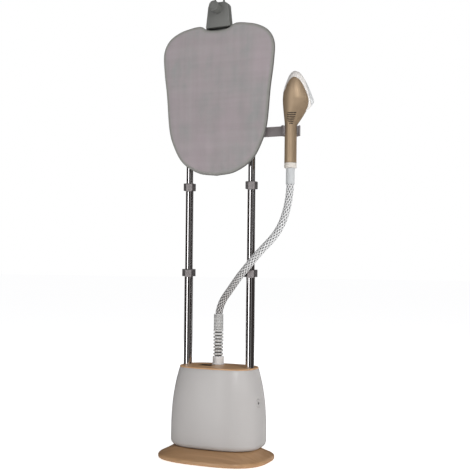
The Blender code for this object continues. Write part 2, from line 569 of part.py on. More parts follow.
# ---------------------------------------------------------------- bridge, head and board
def make_bridge_and_head():
    corner_low = (-BRIDGE_HALF, -BRIDGE_HALF_DEPTH, BRIDGE_LOW)
    bridge = box("pole_bridge", corner_low, (BRIDGE_HALF, BRIDGE_HALF_DEPTH, BRIDGE_TOP), HEAD_GREY)
    round_edges(bridge, 0.004, 2)
    for side in (-1, 1):
        x = side * POLE_X
        below, above = (x, 0, BRIDGE_LOW - CLEAR), (x, 0, UPPER_TOP + GAP)
        cut(bridge, rod(f"bridge_hole_{side}", below, above, UPPER_R + GAP))
    post_low = (-POST_HALF, HEAD_BACK_Y + GAP, BRIDGE_TOP + GAP)
    post = box("head_post", post_low, (POST_HALF, POST_BACK_Y, POST_TOP), HEAD_GREY)
    foot_low = (-POST_FOOT_HALF, HEAD_BACK_Y + GAP, BRIDGE_TOP + GAP)
    join(post, box("post_foot", foot_low, (POST_FOOT_HALF, POST_BACK_Y, POST_FOOT_TOP)))
    round_edges(post, 0.002, 2)

    outline = [(-HEAD_HALF_LOW, HEAD_LOW), (HEAD_HALF_LOW, HEAD_LOW)]
    for side in (1, -1):
        x, z = side * (HEAD_HALF_TOP - HEAD_CORNER), HEAD_TOP - HEAD_CORNER
        for step in range(7):
            angle = math.pi / 12 * (step if side > 0 else 6 + step)
            outline.append((x + HEAD_CORNER * math.cos(angle), z + HEAD_CORNER * math.sin(angle)))
    head = upright_plate("hanger_head", outline, HEAD_FRONT_Y, HEAD_BACK_Y, HEAD_GREY)
    round_edges(head, 0.0025, 2)
    middle = (HEAD_FRONT_Y + HEAD_BACK_Y) / 2
    for side in (-1, 1):
        root, tip = (side * PRONG_X, middle, HEAD_TOP - 0.006), (side * PRONG_X, middle, PRONG_TOP)
        join(head, rod(f"prong_{side}", root, tip, PRONG_R, None, 10))
    peg_root, peg_end = (0, HEAD_FRONT_Y - GAP, PEG_Z), (0, HEAD_FRONT_Y - PEG_LENGTH, PEG_Z)
    peg = rod("hanger_peg", peg_root, peg_end, PEG_R, HEAD_GREY)
    round_edges(peg, 0.002, 1)


def board_outline(inset):
    half = smooth_route([(x, 0.0, z) for x, z in BOARD_HALF_OUTLINE], 26)
    centre = Vector((0.0, 0.0, 1.16))
    points = []
    for point in half:
        outward = (point - centre).normalized()
        points.append(point - outward * inset)
    left = [Vector((-p.x, 0.0, p.z)) for p in reversed(points[1:-1])]
    return [(p.x, p.z) for p in points + left]


def make_board():
    upright_plate("press_panel", board_outline(0.002), BOARD_BACK_Y - PANEL_THICK, BOARD_BACK_Y, PANEL_GREY)
    pad_back = BOARD_BACK_Y - PANEL_THICK - GAP
    pad = upright_plate("press_pad", board_outline(0.0), pad_back - PAD_THICK, pad_back, FABRIC)
    round_edges(pad, 0.0025, 1)
    for row, z in BRACKET_ROWS:
        for name, side in (("left", -1), ("right", 1)):
            x = side * POLE_X
            low = (x - BRACKET_HALF, BOARD_BACK_Y + GAP, z)
            high = (x + BRACKET_HALF, BRACKET_BACK_Y, z + BRACKET_HIGH)
            bracket = box(f"board_bracket_{row}_{name}", low, high, CLAMP_GREY)
            round_edges(bracket, 0.003, 1)
            below, above = (x, 0, z - CLEAR), (x, 0, z + BRACKET_HIGH + CLEAR)
            cut(bracket, rod(f"bracket_bore_{row}_{name}", below, above, UPPER_R + GAP))


# ---------------------------------------------------------------- holder, handset and hose
def handset_place():
    return Matrix.Translation((HANDSET_X, HANDSET_Y, 0.0)) @ Matrix.Rotation(HANDSET_TURN, 4, "Z")


def handset_form(name, inset=0.0, extend=0.0, stations=len(HANDSET_STATIONS), colour=None):
    """The handset's outer form, or a smaller one inside it that may run on out of the handle's end."""
    rings = []
    for index, (z, back, front, half) in enumerate(HANDSET_STATIONS[:stations]):
        middle, reach = (back + front) / 2, (front - back) / 2 - inset
        height = z - extend if index == 0 else z
        ring = []
        for step in range(20):
            angle = 2 * math.pi * step / 20
            ring.append((middle + reach * math.cos(angle), (half - inset) * math.sin(angle), height))
        rings.append(ring)
    form = loft(name, rings, colour)
    form.matrix_world = handset_place()
    return form


def side_region(name, line, shift=0.0):
    """Everything in front of a line drawn on the handset's side, which may be shifted off the shell."""
    outline = []
    for x, z in line:
        away = (Vector((x, 0.0, z)) - SHELL_MIDDLE).normalized()
        outline.append((x + shift * away.x, z + shift * away.z))
    ahead, above, aside = 0.12, 1.30, 0.07
    outline += [(ahead, line[-1][1]), (ahead, above), (line[0][0], above)]
    region = upright_plate(name, outline, -aside, aside)
    region.matrix_world = handset_place()
    return region


def make_handset():
    shell = handset_form("handset_shell", colour=GOLD)
    cut(shell, side_region("rim_region", RIM_LINE))
    cut(shell, handset_form("handset_hollow", SHELL_WALL, 0.01, 11))
    window_low = (TRIGGER_INNER, -TRIGGER_HALF, TRIGGER_LOW)
    window = box("trigger_window", window_low, (TRIGGER_OUTER, TRIGGER_HALF, TRIGGER_HIGH))
    window.matrix_world = handset_place()
    cut(shell, window)

    rim = handset_form("handset_rim", colour=WHITE)
    keep(rim, side_region("rim_region_inner", RIM_LINE, 2 * GAP))
    plate_line = [(x - 2 * GAP, z - GAP) for x, z in PLATE_LINE]
    cut(rim, side_region("rim_front", plate_line))
    cut(rim, handset_form("rim_hollow", RIM_WALL, 0.0, 11))
    plate = handset_form("steam_plate", colour=WHITE)
    keep(plate, side_region("plate_region", PLATE_LINE))

    trigger = handset_form("steam_trigger", colour=GOLD)
    edge = 0.0004
    button = box("trigger_block", (TRIGGER_INNER, edge - TRIGGER_HALF, TRIGGER_LOW + edge),
                 (TRIGGER_OUTER, TRIGGER_HALF - edge, TRIGGER_HIGH - edge))
    button.matrix_world = handset_place()
    keep(trigger, button)
    cut(trigger, handset_form("trigger_hollow", TRIGGER_WALL, 0.0, 11))

    chamber = box("steam_chamber", CHAMBER_LOW, CHAMBER_HIGH, STEEL)
    round_edges(chamber, 0.004, 1)
    chamber.matrix_world = handset_place()
    place = (HANDSET_X, HANDSET_Y)
    tube_top = CHAMBER_LOW[2] - GAP
    rod("handset_steam_tube", (*place, STEAM_TUBE_LOW), (*place, tube_top), STEAM_TUBE_R, RUBBER, 12)
    tube("handset_ring", RING_R, RING_BORE, CUFF_TOP + GAP, RING_TOP, place, CREAM, 24)
    tube("hose_cuff", CUFF_R, CUFF_BORE, CUFF_LOW, CUFF_TOP, place, WHITE, 24)


def make_holder():
    """A clamp on the right-hand upper tube, and an arm that ends in an open clip round the handle."""
    tube("holder_clamp", HOLDER_R, UPPER_R + GAP, HOLDER_LOW, HOLDER_HIGH, (POLE_X, 0.0), CLAMP_GREY)
    bar_low = (POLE_X + ARM_START, HANDSET_Y - ARM_HALF, HOLDER_LOW)
    bar_high = (HANDSET_X - HANDLE_R - ARM_SHORT, HANDSET_Y + ARM_HALF, HOLDER_HIGH)
    arm = box("holder_arm", bar_low, bar_high, CLAMP_GREY)
    inner = HANDLE_R + GAP
    profile = [(CLIP_R, HOLDER_HIGH), (CLIP_R, HOLDER_LOW), (inner, HOLDER_LOW), (inner, HOLDER_HIGH)]
    join(arm, turned("clip_ring", profile, (HANDSET_X, HANDSET_Y), None, 32))
    below, above = HOLDER_LOW - CLEAR, HOLDER_HIGH + CLEAR
    mouth = box("clip_mouth", (-CLIP_MOUTH_HALF, -0.050, below), (CLIP_MOUTH_HALF, CLIP_MOUTH_Y, above))
    mouth.matrix_world = handset_place()
    cut(arm, mouth)
    cut(arm, rod("arm_clamp_gap", (POLE_X, 0, below), (POLE_X, 0, above), HOLDER_R + GAP, None, 20))


def make_hose_fittings():
    place = (OUTLET.x, OUTLET.y)
    low = TOP_SURFACE + GAP
    profile = [(COLLAR_R, COLLAR_TOP), (COLLAR_R, low + 0.004), (COLLAR_FLANGE_R, low + 0.002)]
    profile += [(COLLAR_FLANGE_R, low), (HOSE_BORE, low), (HOSE_BORE, COLLAR_TOP)]
    turned("hose_collar", profile, place, WHITE, 20)
    pitch = (GUARD_SLEEVE_LOW - COLLAR_TOP - GAP) / GUARD_RIBS
    profile = [(GUARD_SLEEVE_R - 0.001, GUARD_TOP), (GUARD_SLEEVE_R, GUARD_TOP - 0.002)]
    profile.append((GUARD_SLEEVE_R, GUARD_SLEEVE_LOW))
    for rib in range(GUARD_RIBS):
        top = GUARD_SLEEVE_LOW - rib * pitch
        profile += [(GUARD_ROOT_R, top - 0.15 * pitch), (GUARD_R, top - 0.40 * pitch)]
        profile.append((GUARD_R, top - 0.75 * pitch))
    bore_step = HOSE_START_Z - HOSE_SEAT
    profile += [(GUARD_ROOT_R, COLLAR_TOP + GAP), (HOSE_BORE, COLLAR_TOP + GAP)]
    profile += [(HOSE_BORE, bore_step), (SLEEVE_BORE, bore_step), (SLEEVE_BORE, GUARD_TOP)]
    turned("bend_guard", profile, place, WHITE, 16)


HOSE_ROUTE = [
    (-0.0240, 0.0500, HOSE_START_Z), (-0.0240, 0.0500, 0.4480), (-0.0233, 0.0498, 0.4600),
    (-0.0212, 0.0492, 0.4735), (-0.0166, 0.0475, 0.4885), (-0.0081, 0.0436, 0.5050), (0.0050, 0.0361, 0.5215),
    (0.0228, 0.0247, 0.5390), (0.0417, 0.0102, 0.5560), (0.0607, -0.0060, 0.5725), (0.0795, -0.0207, 0.5890),
    (0.0980, -0.0323, 0.6050), (0.1155, -0.0405, 0.6210), (0.1318, -0.0455, 0.6375), (0.1480, -0.0480, 0.6540),
    (0.1690, -0.0485, 0.6755), (0.1915, -0.0457, 0.6990), (0.2105, -0.0400, 0.7230), (0.2235, -0.0335, 0.7470),
    (0.2323, -0.0270, 0.7720), (0.2387, -0.0210, 0.7990), (0.2430, -0.0165, 0.8270), (0.2457, -0.0132, 0.8550),
    (HANDSET_X, HANDSET_Y, 0.8800), (HANDSET_X, HANDSET_Y, 0.9020), (HANDSET_X, HANDSET_Y, HOSE_END_Z),
]


make_base()
make_housing()
make_power_button()
make_top_plate()
make_inner_parts()
make_tank()
make_poles()
make_bridge_and_head()
make_board()
make_holder()
make_handset()
make_hose_fittings()
pipe("steam_hose", smooth_route(HOSE_ROUTE, HOSE_POINTS), HOSE_R, HOSE_GREY, 3)

for part in PARTS.objects:
    part.data.shade_smooth()
    part.data.set_sharp_from_angle(angle=math.radians(35))
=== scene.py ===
"""The looks of an upright garment steamer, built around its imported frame.

Metres, +Z up, in the frame's own coordinates. The press board faces -Y, and the hose and the handset are
on the +X side.
"""

import json
import math

import bmesh
import bpy
import numpy as np
from mathutils import Matrix, Vector


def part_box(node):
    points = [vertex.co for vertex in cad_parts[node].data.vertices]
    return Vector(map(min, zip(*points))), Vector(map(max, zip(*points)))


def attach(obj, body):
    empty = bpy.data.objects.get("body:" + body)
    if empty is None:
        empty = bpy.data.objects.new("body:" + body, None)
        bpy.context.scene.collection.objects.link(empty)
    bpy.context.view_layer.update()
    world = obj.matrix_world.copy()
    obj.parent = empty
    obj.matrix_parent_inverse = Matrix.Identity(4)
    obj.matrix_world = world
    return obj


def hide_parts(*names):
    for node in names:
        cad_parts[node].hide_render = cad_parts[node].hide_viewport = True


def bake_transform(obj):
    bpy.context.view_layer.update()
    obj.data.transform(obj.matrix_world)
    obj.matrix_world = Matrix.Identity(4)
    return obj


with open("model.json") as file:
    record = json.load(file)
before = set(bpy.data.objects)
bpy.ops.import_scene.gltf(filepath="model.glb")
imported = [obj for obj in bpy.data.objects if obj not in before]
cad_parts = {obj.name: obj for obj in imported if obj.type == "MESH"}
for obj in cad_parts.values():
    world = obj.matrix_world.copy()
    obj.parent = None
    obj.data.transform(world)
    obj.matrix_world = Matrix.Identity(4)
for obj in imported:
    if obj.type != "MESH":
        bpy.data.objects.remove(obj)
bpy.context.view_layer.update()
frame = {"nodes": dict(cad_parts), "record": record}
SCENE = bpy.context.scene


CLEARANCE = 0.0003


def box_of(node):
    low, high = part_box(node)
    return low, high, (low + high) / 2


# ---- camera, light and floor
CAMERA_TURN, CAMERA_YAW, CAMERA_ROLL = math.radians(25), math.radians(1.07), math.radians(0.6)
CAMERA_DISTANCE, CAMERA_HEIGHT, CAMERA_LENS, CAMERA_SHIFT = 2.735, 0.611, 64.3, 0.0745


def make_camera():
    data = bpy.data.cameras.new("camera")
    data.lens = CAMERA_LENS
    data.shift_y = CAMERA_SHIFT
    camera = bpy.data.objects.new("camera", data)
    SCENE.collection.objects.link(camera)
    across = (math.sin(CAMERA_TURN) * CAMERA_DISTANCE, -math.cos(CAMERA_TURN) * CAMERA_DISTANCE)
    place = Matrix.Translation((*across, CAMERA_HEIGHT))
    turn = Matrix.Rotation(CAMERA_TURN - CAMERA_YAW, 4, "Z") @ Matrix.Rotation(math.pi / 2, 4, "X")
    camera.matrix_world = place @ turn @ Matrix.Rotation(CAMERA_ROLL, 4, "Z")
    SCENE.camera = camera


def soft_light(name, azimuth, distance, height, width, tall, power, mirrored=False, aim=0.75):
    """An upright softbox at an azimuth in degrees, measured as the camera's is, aimed at the poles.

    A mirrored one is seen in glossy surfaces and nowhere else, and any other one lights matt surfaces."""
    data = bpy.data.lights.new(name, "AREA")
    data.shape = "RECTANGLE"
    data.size, data.size_y = width, tall
    data.energy = power
    lamp = bpy.data.objects.new(name, data)
    SCENE.collection.objects.link(lamp)
    turn = math.radians(azimuth)
    lamp.location = (math.sin(turn) * distance, -math.cos(turn) * distance, height)
    lamp.rotation_euler = (Vector((0, 0, aim)) - lamp.location).to_track_quat("-Z", "Y").to_euler()
    lamp.visible_glossy = mirrored
    lamp.visible_diffuse = not mirrored


SOFT_LIGHTS = (  # name, azimuth, distance, height, width, tall, power
    ("key", 58, 3.4, 2.2, 1.4, 2.4, 66),
    ("left_fill", -30, 3.6, 1.2, 1.2, 3.0, 5),
    ("front_fill", 20, 5.0, 2.6, 3.0, 1.6, 20),
    ("rear_fill", 215, 4.0, 2.2, 2.0, 2.0, 26),
)
MIRRORED_STRIPS = (  # name, azimuth, distance, height, width, tall, power, aim
    ("wide_strip", -18, 3.6, 1.0, 1.1, 4.6, 48, 0.75),
    ("thin_strip", 47, 3.6, 1.0, 0.5, 4.6, 3, 0.75),
    ("high_spot", 24, 3.2, 2.2, 0.4, 1.1, 36, 1.1),
    ("rear_strip", 165, 3.6, 1.0, 0.6, 4.6, 10, 0.75),
)
WORLD_LIGHT = (  # what it is for, colour, strength
    ("seen", (1, 1, 1, 1), 1.0),
    ("even", (0.98, 0.98, 1, 1), 0.25),
    ("mirrored", (1.0, 0.88, 0.83, 1), 0.045),
)


def make_light():
    """White for the eye, even soft light for matt surfaces, and a dim room for the chrome to mirror."""
    world = bpy.data.worlds.new("studio")
    SCENE.world = world
    world.use_nodes = True
    nodes, links = world.node_tree.nodes, world.node_tree.links
    nodes.clear()
    path = nodes.new("ShaderNodeLightPath")
    lit = {}
    for name, colour, strength in WORLD_LIGHT:
        lit[name] = nodes.new("ShaderNodeBackground")
        lit[name].inputs["Color"].default_value = colour
        lit[name].inputs["Strength"].default_value = strength
    glossy, camera = nodes.new("ShaderNodeMixShader"), nodes.new("ShaderNodeMixShader")
    output = nodes.new("ShaderNodeOutputWorld")
    links.new(path.outputs["Is Glossy Ray"], glossy.inputs[0])
    links.new(lit["even"].outputs[0], glossy.inputs[1])
    links.new(lit["mirrored"].outputs[0], glossy.inputs[2])
    links.new(path.outputs["Is Camera Ray"], camera.inputs[0])
    links.new(glossy.outputs[0], camera.inputs[1])
    links.new(lit["seen"].outputs[0], camera.inputs[2])
    links.new(camera.outputs[0], output.inputs["Surface"])
    for values in SOFT_LIGHTS:
        soft_light(*values)
    for *values, aim in MIRRORED_STRIPS:
        soft_light(*values, mirrored=True, aim=aim)
    SCENE.view_settings.view_transform = "Standard"


FLOOR_REACH = 60.0


def make_floor():
    mesh = bpy.data.meshes.new("floor")
    corners = [(x * FLOOR_REACH, y * FLOOR_REACH, 0) for x, y in ((-1, -1), (1, -1), (1, 1), (-1, 1))]
    mesh.from_pydata(corners, [], [(0, 1, 2, 3)])
    floor = bpy.data.objects.new("floor", mesh)
    SCENE.collection.objects.link(floor)
    paper = bpy.data.materials.new("pale_floor")
    paper.use_nodes = True
    shader = paper.node_tree.nodes["Principled BSDF"]
    shader.inputs["Base Color"].default_value = (0.96, 0.96, 0.96, 1)
    shader.inputs["Roughness"].default_value = 0.9
    shader.inputs["Specular IOR Level"].default_value = 0.0
    shader.inputs["Emission Color"].default_value = (1, 1, 1, 1)
    shader.inputs["Emission Strength"].default_value = 0.75
    mesh.materials.append(paper)
    floor.visible_glossy = False


# ---- materials
COLOUR_MIX_INPUTS, COLOUR_MIX_RESULT = (0, 6, 7), 2  # the mix node's factor and two colours, and its colour
COAT_ROUGHNESS = 0.12


class Finish:
    """A material with a Principled shader, and short calls for the nodes that feed it."""

    def __init__(self, name, roughness, metallic=0.0, coat=0.0, sheen=0.0):
        self.material = bpy.data.materials.new(name)
        self.material.use_nodes = True
        self.tree = self.material.node_tree
        self.shader = self.tree.nodes["Principled BSDF"]
        for socket, value in (("Roughness", roughness), ("Metallic", metallic), ("Coat Weight", coat),
                              ("Coat Roughness", COAT_ROUGHNESS), ("Sheen Weight", sheen)):
            self.put(value, self.shader.inputs[socket])
        self.place = self.node("TexCoord").outputs["Object"]

    def put(self, value, socket):
        """Gives a socket a number or a colour, or links another node's output to it."""
        if isinstance(value, (int, float)):
            socket.default_value = value
        elif isinstance(value, tuple):
            socket.default_value = (*value, 1.0)
        else:
            self.tree.links.new(value, socket)

    def node(self, kind, **inputs):
        """A new node whose named inputs are put in."""
        made = self.tree.nodes.new("ShaderNode" + kind)
        for name, value in inputs.items():
            self.put(value, made.inputs[name.replace("_", " ")])
        return made

    def feed(self, socket, value):
        self.put(value, self.shader.inputs[socket])

    def noise(self, scale, detail=2.0, rough=0.5, distortion=0.0):
        """Noise from 0 to 1 whose cells repeat about scale times a metre along each axis."""
        spread = self.node("Mapping", Vector=self.place)
        spread.inputs["Scale"].default_value = scale
        made = self.node("TexNoise", Vector=spread.outputs[0], Scale=1.0, Detail=detail, Roughness=rough,
                         Distortion=distortion)
        return made.outputs["Fac"]

    def math(self, operation, first, second=0.0):
        made = self.node("Math")
        made.operation = operation
        self.put(first, made.inputs[0])
        self.put(second, made.inputs[1])
        return made.outputs[0]

    def axis(self, letter):
        return self.node("SeparateXYZ", Vector=self.place).outputs[letter]

    def stored(self, attribute):
        """A number that the mesh holds at each point."""
        made = self.node("Attribute")
        made.attribute_name = attribute
        return made.outputs["Fac"]

    def ramp(self, value, stops):
        made = self.node("ValToRGB", Fac=value)
        elements = made.color_ramp.elements
        while len(elements) < len(stops):
            elements.new(0.5)
        for element, (at, colour) in zip(elements, stops):
            element.position = at
            element.color = (*colour, 1.0)
        return made.outputs["Color"]

    def range(self, value, low, high):
        return self.node("MapRange", Value=value, To_Min=low, To_Max=high).outputs["Result"]

    def mix(self, share, first, second):
        made = self.node("Mix")
        made.data_type = "RGBA"
        for value, index in zip((share, first, second), COLOUR_MIX_INPUTS):
            self.put(value, made.inputs[index])
        return made.outputs[COLOUR_MIX_RESULT]

    def bump(self, height, depth, strength=1.0):
        """Relief of a depth in metres."""
        relief = self.node("Bump", Strength=strength, Distance=depth, Height=height)
        self.feed("Normal", relief.outputs[0])


def shade(colour, factor):
    return tuple(min(1.0, c * factor) for c in colour)


def plastic(name, colour, roughness, coat=0.0, grain=900, depth=0.00003, mottle=0.05):
    """Moulded plastic: faint cloudy colour, uneven gloss and the fine grain of the mould."""
    finish = Finish(name, roughness, coat=coat)
    cloud = finish.noise((9, 9, 9), 4)
    shades = [(0.3, shade(colour, 1 - mottle)), (0.7, shade(colour, 1 + mottle))]
    finish.feed("Base Color", finish.ramp(cloud, shades))
    wipe = finish.noise((40, 40, 14), 5, 0.6, 0.4)
    finish.feed("Roughness", finish.range(wipe, roughness - 0.07, roughness + 0.07))
    finish.bump(finish.noise((grain, grain, grain), 2), depth)
    return finish.material


def wood_print(name, painted_lightness=1.0):
    """Bronze wood-look lacquer: fine streaks along X under a satin finish. Its colours can be scaled up for a
    copy painted lighter, as painted light.
    """
    finish = Finish(name, 0.40, coat=0.10)
    bands = finish.noise((2.2, 55, 38), 5, 0.62, 0.8)
    streaks = finish.noise((7, 420, 300), 3, 0.6)
    browns = ((0.25, (0.365, 0.205, 0.098)), (0.50, (0.480, 0.282, 0.142)), (0.78, (0.580, 0.360, 0.195)))
    grain = finish.ramp(bands, [(at, shade(brown, painted_lightness)) for at, brown in browns])
    dark = shade((0.33, 0.182, 0.089), painted_lightness)
    finish.feed("Base Color", finish.mix(finish.range(streaks, 0.0, 0.42), grain, dark))
    finish.feed("Roughness", finish.range(streaks, 0.34, 0.48))
    finish.bump(streaks, 0.00004)
    return finish.material


def polished_tube(name):
    """Chrome with the faint lengthwise lines of drawn tube."""
    finish = Finish(name, 0.07, metallic=1.0)
    lines = finish.noise((40, 40, 0.5), 2, 0.5)
    cloud = finish.noise((12, 12, 5), 3)
    finish.feed("Base Color", finish.ramp(cloud, [(0.3, (0.70, 0.69, 0.69)), (0.7, (0.78, 0.77, 0.78))]))
    finish.feed("Roughness", finish.range(lines, 0.06, 0.09))
    return finish.material


def metal(name, colour, roughness, lines=(300, 300, 20)):
    finish = Finish(name, roughness, metallic=1.0)
    brushed = finish.noise(lines, 4, 0.6)
    shades = [(0.25, shade(colour, 0.86)), (0.75, shade(colour, 1.12))]
    finish.feed("Base Color", finish.ramp(brushed, shades))
    finish.feed("Roughness", finish.range(brushed, roughness - 0.08, roughness + 0.10))
    finish.bump(brushed, 0.00002)
    return finish.material


def satin_gold(name):
    """Champagne metallic paint: a fine flake under a satin lacquer."""
    finish = Finish(name, 0.48, metallic=0.50)
    flake = finish.noise((2600, 2600, 2600), 1)
    cloud = finish.noise((14, 14, 8), 3)
    base = finish.ramp(cloud, [(0.3, (0.325, 0.232, 0.145)), (0.7, (0.360, 0.259, 0.165))])
    finish.feed("Base Color", finish.mix(finish.range(flake, 0.0, 0.30), base, (0.47, 0.36, 0.25)))
    finish.feed("Roughness", finish.range(flake, 0.42, 0.52))
    finish.bump(flake, 0.000012)
    return finish.material


THREAD = 0.0011


def woven_cloth(name):
    """Plain weave of fine grey threads, with the slight crosswise unevenness of real yarn, and painted shade
    that darkens it towards the board's rim.
    """
    finish = Finish(name, 0.95, sheen=0.25)
    turn = math.pi / THREAD
    over = finish.math("SINE", finish.math("MULTIPLY", finish.axis("X"), turn))
    under = finish.math("SINE", finish.math("MULTIPLY", finish.axis("Z"), turn))
    weave = finish.math("MULTIPLY", over, under)
    ribs = finish.math("ADD", finish.math("ABSOLUTE", over), finish.math("ABSOLUTE", under))
    height = finish.math("ADD", finish.math("MULTIPLY", weave, 0.5), finish.math("MULTIPLY", ribs, 0.5))
    warp = finish.noise((48, 48, 2.5), 3, 0.55)
    weft = finish.noise((2.5, 48, 48), 3, 0.55)
    broad = finish.noise((11, 11, 8), 3, 0.55)
    border = finish.stored("from_rim")
    yarn = finish.math("MULTIPLY", finish.math("ADD", warp, weft), 0.5)
    rose = finish.ramp(yarn, [(0.36, (0.262, 0.238, 0.240)), (0.64, (0.360, 0.330, 0.336))])
    tints = [(0.34, (0.258, 0.268, 0.262)), (0.46, (0.318, 0.284, 0.290)), (0.62, (0.362, 0.300, 0.322))]
    cloth = finish.mix(0.62, rose, finish.ramp(broad, tints))
    # Painted shade: the cloth darkens within about 13 mm of the board's outline and is nearly black at the
    # outline itself.
    rim_shade_colours = [(0.0, (0.075, 0.072, 0.066)), (0.16, (0.225, 0.222, 0.205)), (0.90, (0.300, 0.292, 0.280))]
    rim_shade_share = finish.ramp(border, [(0.35, (1, 1, 1)), (0.80, (0, 0, 0))])
    cloth = finish.mix(rim_shade_share, cloth, finish.ramp(border, rim_shade_colours))
    finish.feed("Base Color", finish.mix(finish.range(height, 0.16, 0.0), cloth, (0.10, 0.09, 0.09)))
    finish.feed("Roughness", finish.range(height, 0.98, 0.86))
    finish.bump(height, 0.00018, 0.6)
    return finish.material


def braided_hose(name):
    """Pale braid with painted shade in its gaps; lower down the whole braid is darker and its gaps darker
    still. The mesh holds how high each point of the braid stands.
    """
    finish = Finish(name, 0.62, sheen=0.1)
    height = finish.stored("braid_height")
    # The darkest stops are painted shade in the braid's gaps; the second set, used below about 0.52 m, is
    # darker throughout.
    upper_braid_colours = [(0.10, (0.100, 0.100, 0.100)), (0.40, (0.30, 0.30, 0.30)), (0.70, (0.74, 0.74, 0.74))]
    lower_braid_colours = [(0.20, (0.030, 0.027, 0.025)), (0.55, (0.18, 0.17, 0.163)), (0.80, (0.66, 0.64, 0.63))]
    upper_braid, lower_braid = finish.ramp(height, upper_braid_colours), finish.ramp(height, lower_braid_colours)
    low_down = finish.ramp(finish.axis("Z"), [(0.52, (1, 1, 1)), (0.68, (0, 0, 0))])
    strand = finish.mix(low_down, upper_braid, lower_braid)
    fibre = finish.noise((1500, 1500, 1500), 2)
    finish.feed("Base Color", finish.mix(finish.range(fibre, 0.0, 0.22), strand, (0.44, 0.44, 0.44)))
    finish.feed("Roughness", finish.range(fibre, 0.50, 0.75))
    finish.bump(fibre, 0.00012, 0.7)
    return finish.material


def guard_rubber(name):
    """White soft plastic with painted shade in its grooves and a fine speckle of dust. The mesh holds how high
    each point stands.
    """
    finish = Finish(name, 0.55)
    # The dark low stops paint shade into the grooves, where the relief is low.
    shades = [(0.05, (0.045, 0.043, 0.040)), (0.45, (0.30, 0.29, 0.28)), (0.80, (0.66, 0.66, 0.65))]
    shaded = finish.ramp(finish.stored("relief"), shades)
    dust = finish.noise((600, 600, 600), 3)
    finish.feed("Base Color", finish.mix(finish.range(dust, 0.0, 0.25), shaded, (0.40, 0.40, 0.39)))
    finish.feed("Roughness", finish.range(dust, 0.45, 0.65))
    finish.bump(dust, 0.00004)
    return finish.material


def circuit(name):
    finish = Finish(name, 0.45, coat=0.3)
    tracks = finish.noise((260, 260, 900), 0)
    finish.feed("Base Color", finish.ramp(tracks, [(0.48, (0.012, 0.10, 0.035)), (0.52, (0.03, 0.22, 0.09))]))
    finish.feed("Roughness", finish.range(tracks, 0.35, 0.55))
    finish.bump(tracks, 0.00003)
    return finish.material


FINE_GRAIN = {"grain": 1600, "depth": 0.00006, "mottle": 0.08}
LEVER_GRAIN = {"grain": 1600, "depth": 0.00006, "mottle": 0.10}
HEAD_GRAIN = {"grain": 1500, "depth": 0.00008, "mottle": 0.08}
COLLAR_GRAIN = {"grain": 450, "depth": 0.00012, "mottle": 0.10}
FINISH = {
    "bronze_wood": wood_print("bronze_wood_print"),
    "body_grey": plastic("body_satin_plastic", (0.485, 0.465, 0.453), 0.36, coat=0.06, mottle=0.02),
    "tank_grey": plastic("tank_satin_plastic", (0.478, 0.459, 0.448), 0.32, coat=0.10, mottle=0.02),
    "white_plastic": plastic("white_moulded_plastic", (0.50, 0.51, 0.515), 0.42, mottle=0.03),
    "steam_plate": plastic("steam_plate_enamel", (0.58, 0.585, 0.585), 0.35, mottle=0.02),
    "cream_plastic": plastic("cream_plastic", (0.60, 0.56, 0.51), 0.35, mottle=0.03),
    "black_gloss": plastic("black_gloss_plastic", (0.006, 0.006, 0.007), 0.30),
    "rubber": plastic("black_rubber", (0.022, 0.022, 0.023), 0.75, grain=1400, depth=0.00008, mottle=0.15),
    "inner_plastic": plastic("inner_plastic", (0.25, 0.25, 0.25), 0.55, mottle=0.06),
    "circuit_green": circuit("circuit_board_green"),
    "steel": metal("brushed_steel", (0.56, 0.56, 0.57), 0.32),
    "brass": metal("brass", (0.62, 0.43, 0.19), 0.30),
    "chrome": polished_tube("polished_chrome"),
    # Dark grained plastic, partly its own colour and partly painted shade for the clamps' shaded sides;
    # brackets and the holder clamp share it.
    "clamp_grey": plastic("clamp_grained_plastic", (0.060, 0.053, 0.053), 0.45, **FINE_GRAIN),
    "head_grey": plastic("head_grained_plastic", (0.126, 0.128, 0.119), 0.50, **HEAD_GRAIN),
    "fabric": woven_cloth("board_cover_cloth"),
    "gold": satin_gold("champagne_satin_paint"),
    "hose": braided_hose("hose_braid"),
}
PANEL_SHADER = FINISH["black_gloss"].node_tree.nodes["Principled BSDF"]
PANEL_SHADER.inputs["Specular IOR Level"].default_value = 0.12
GUARD_RUBBER = guard_rubber("white_guard_rubber")
# The top plate's copy is painted 1.35 times lighter than the base plate's, as painted light and reflection on
# its top face.
TOP_WOOD_PAINTED_LIGHTER = wood_print("top_plate_wood_painted_lighter", 1.35)
RIM_PLASTIC = plastic("rim_moulded_plastic", (0.74, 0.71, 0.68), 0.40, mottle=0.02)
# The collar's white plastic is painted much lighter than the cuff's, standing in for the light it lacks low
# down; its speckle is its own.
COLLAR_PAINTED_LIGHTER = plastic("collar_speckled_plastic", (0.88, 0.87, 0.86), 0.48, **COLLAR_GRAIN)
ARM_PLASTIC = plastic("arm_grained_plastic", (0.195, 0.172, 0.172), 0.42, **FINE_GRAIN)
# The levers take a lighter copy of the clamps' grained plastic, as painted light on the levers.
LEVER_PAINTED_LIGHTER = plastic("lever_grained_plastic", (0.235, 0.212, 0.212), 0.48, **LEVER_GRAIN)


# ---- mesh helpers
def link(name, mesh):
    obj = bpy.data.objects.new(name, mesh)
    SCENE.collection.objects.link(obj)
    return obj


def from_bmesh(name, bm):
    bmesh.ops.recalc_face_normals(bm, faces=bm.faces)
    mesh = bpy.data.meshes.new(name)
    bm.to_mesh(mesh)
    bm.free()
    return link(name, mesh)


